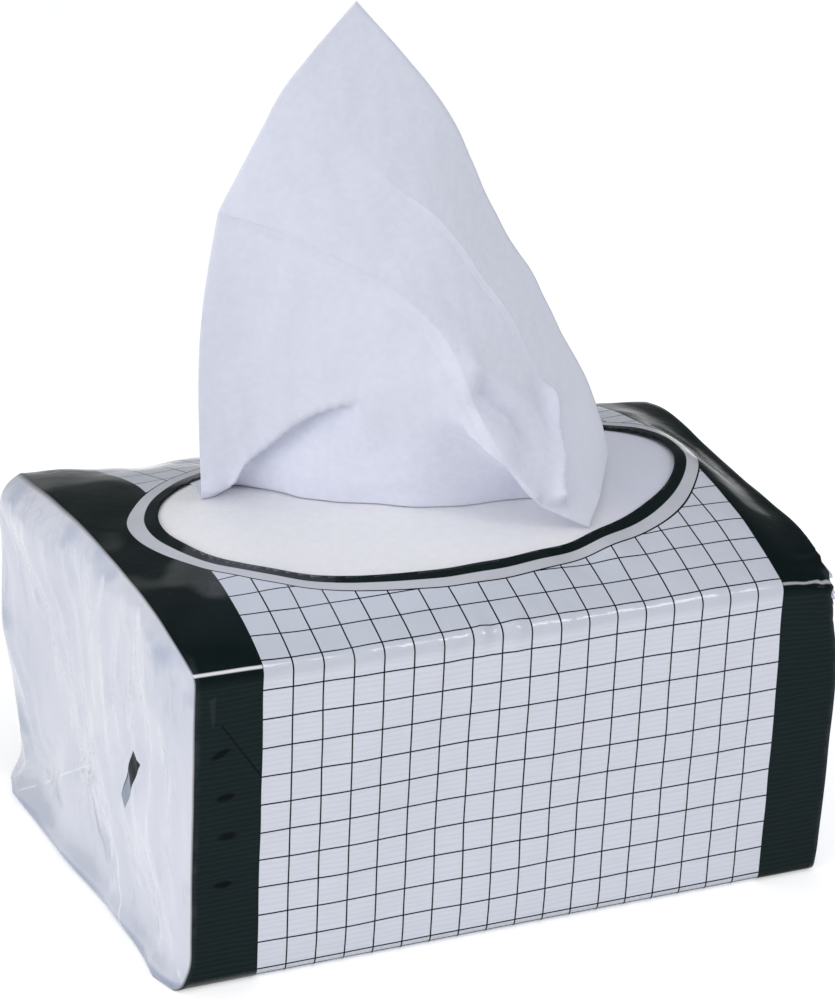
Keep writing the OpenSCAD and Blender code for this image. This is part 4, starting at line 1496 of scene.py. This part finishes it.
def lap(points, line, out, out_w, deep, drop_w, back_w):
    """Height of a lobe that ends at a drawn line and drops into a hollow on the left of its run."""
    _, run_share = to_line(points, line)
    side, plain_share = off_line(points, line)
    width = mix(drop_w[0], drop_w[1], run_share)
    fall = 1 - (1 - np.clip(side / width, 0, 1)) ** 2
    hollow = mix(out, deep, fall) * np.exp(-np.maximum(side - width, 0) / back_w)
    lobe = out * np.exp(np.minimum(side, 0) / out_w)
    ends = smooth_step(0, 0.2, run_share) * smooth_step(0, 0.12, 1 - run_share)
    sharp = smooth_step(0, 0.1, plain_share) * smooth_step(0, 0.1, 1 - plain_share)
    slow = smooth_step(0, 0.5, plain_share) * smooth_step(0, 0.5, 1 - plain_share)
    far_off = 1 - np.exp(-np.maximum(-side, 0) / 5)
    return ends * mix(sharp, slow, far_off) * np.where(side < 0, lobe, hollow)


def sheet_out(grid):
    """Unit normals of a grid, turned to the side that faces the camera on the front panel."""
    normal = np.cross(np.gradient(grid, axis=1), np.gradient(grid, axis=0))
    normal /= np.linalg.norm(normal, axis=-1)[..., None] + 1e-9
    front = normal[int(0.45 * len(grid)), int(0.3 * grid.shape[1])]
    return normal if front[1] < 0 else -normal


print("lobe tools ready")

# %% [markdown]
# ### Press the folds
# The folds were drawn on the flat sheet, so the loft's rows are first laid out flat by their mean length.
# The two long creases get a fine pressed ridge with a dip beside it, as a machine fold keeps one, and the
# standing cloth swells a little everywhere.

# %% Press the folds
RIDGE_H, RIDGE_W, RIDGE_DIP = 0.7, 1.1, 0.9
FOLD_ROW, FOLD_ENDS = 9.5, 0.78
SECOND_ROW, SECOND_ENDS, SECOND_SHARE = 14.5, 0.75, 0.6
SHEET_SWELLS = ((0.5, 40, 61), (0.1, 13, 62))

row_steps = np.linalg.norm(np.diff(sheet, axis=0), axis=-1).mean(axis=1)
row_run = np.concatenate([[0], np.cumsum(row_steps)])


def on_sheet(drawn):
    """Drawn shares to millimetres on the flat sheet."""
    drawn = np.asarray(drawn, float)
    return np.stack([drawn[:, 0] * SHEET_W, np.interp(drawn[:, 1], up, row_run)], axis=1)


spread_x, spread_y = np.meshgrid(across * SHEET_W, row_run)
flat_sheet = np.stack([spread_x, spread_y], axis=-1)
push = np.zeros(flat_sheet.shape[:2])
for drawn, height, width in VALLEYS:
    push += crease(flat_sheet, on_sheet(drawn), height, width, fade=0.2)
for drawn, form in LAPS:
    push += lap(flat_sheet, on_sheet(drawn), **form)
fold_seen = smooth_step(0, 0.2, 1 - across / FOLD_ENDS)
second_seen = SECOND_SHARE * smooth_step(0, 0.2, 1 - across / SECOND_ENDS) * smooth_step(0.15, 0.55, across)
for row, seen in ((FOLD_ROW, fold_seen), (SECOND_ROW, second_seen)):
    off_row = spread_y - np.interp(row / (len(rows) - 1), up, row_run)
    dip = RIDGE_DIP * np.exp(-np.abs(off_row + 3 * RIDGE_W) / RIDGE_W)
    push += RIDGE_H * (np.exp(-np.abs(off_row) / RIDGE_W) - dip) * seen
standing = smooth_step(0.02, 0.10, laid[..., 2])
push += standing * swells(flat_sheet, *SHEET_SWELLS)
sheet += sheet_out(sheet) * (push * smooth_step(0.0, 0.05, laid[..., 2]))[..., None]
print("deepest push in mm:", round(float(np.abs(push).max()), 2), "rows in mm:", round(row_run[-1]))

# %% [markdown]
# ### Tucked end and thickness
# Below the mouth the wipe runs back under the film, folds over at the back of the pack and returns
# under the next wipe's panel, as interfolded wipes do. Those rows are put before the others, and the
# whole sheet gets its small thickness.

# %% Make the pulled wipe
TRAIL_LEN, TRAIL_ROWS = 75.0, 34

trail_y = np.linspace(TAIL_Y - TRAIL_LEN, TAIL_Y, TRAIL_ROWS)
trail_under = np.full(len(trail_y), LAYER_RETURN)
fold_y = TAIL_Y + BEND_R * np.sin(bend)
fold_under = LAYER_NEXT + BEND_R * np.cos(bend)
tuck_y = np.concatenate([trail_y, fold_y])
tuck_under = np.concatenate([trail_under, fold_under])
tuck = np.empty((len(tuck_y), ACROSS, 3))
tuck[..., 0] = tail_x
tuck[..., 1] = tuck_y[:, None]
tuck[..., 2] = arch_at(tuck_y, tuck_under)[:, None]
under_mouth = (tuck_under > LAYER_NEXT)[:, None] * mouth_swell(tuck[..., 0], tuck[..., 1])
tuck[..., 2] += under_mouth + top_drop(tuck[..., 0], tuck[..., 1])
pulled_grid = np.concatenate([tuck, sheet])
pulled = make_piece("pulled_wipe_sheet", pulled_grid.reshape(-1, 3),
                    grid_faces(*pulled_grid.shape[:2]).tolist(), cloth)
thicken(pulled, WIPE_T, 0)
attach(pulled, "root")
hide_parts("pulled_wipe")
print("pulled wipe triangles:", sum(len(p.vertices) - 2 for p in pulled.data.polygons))
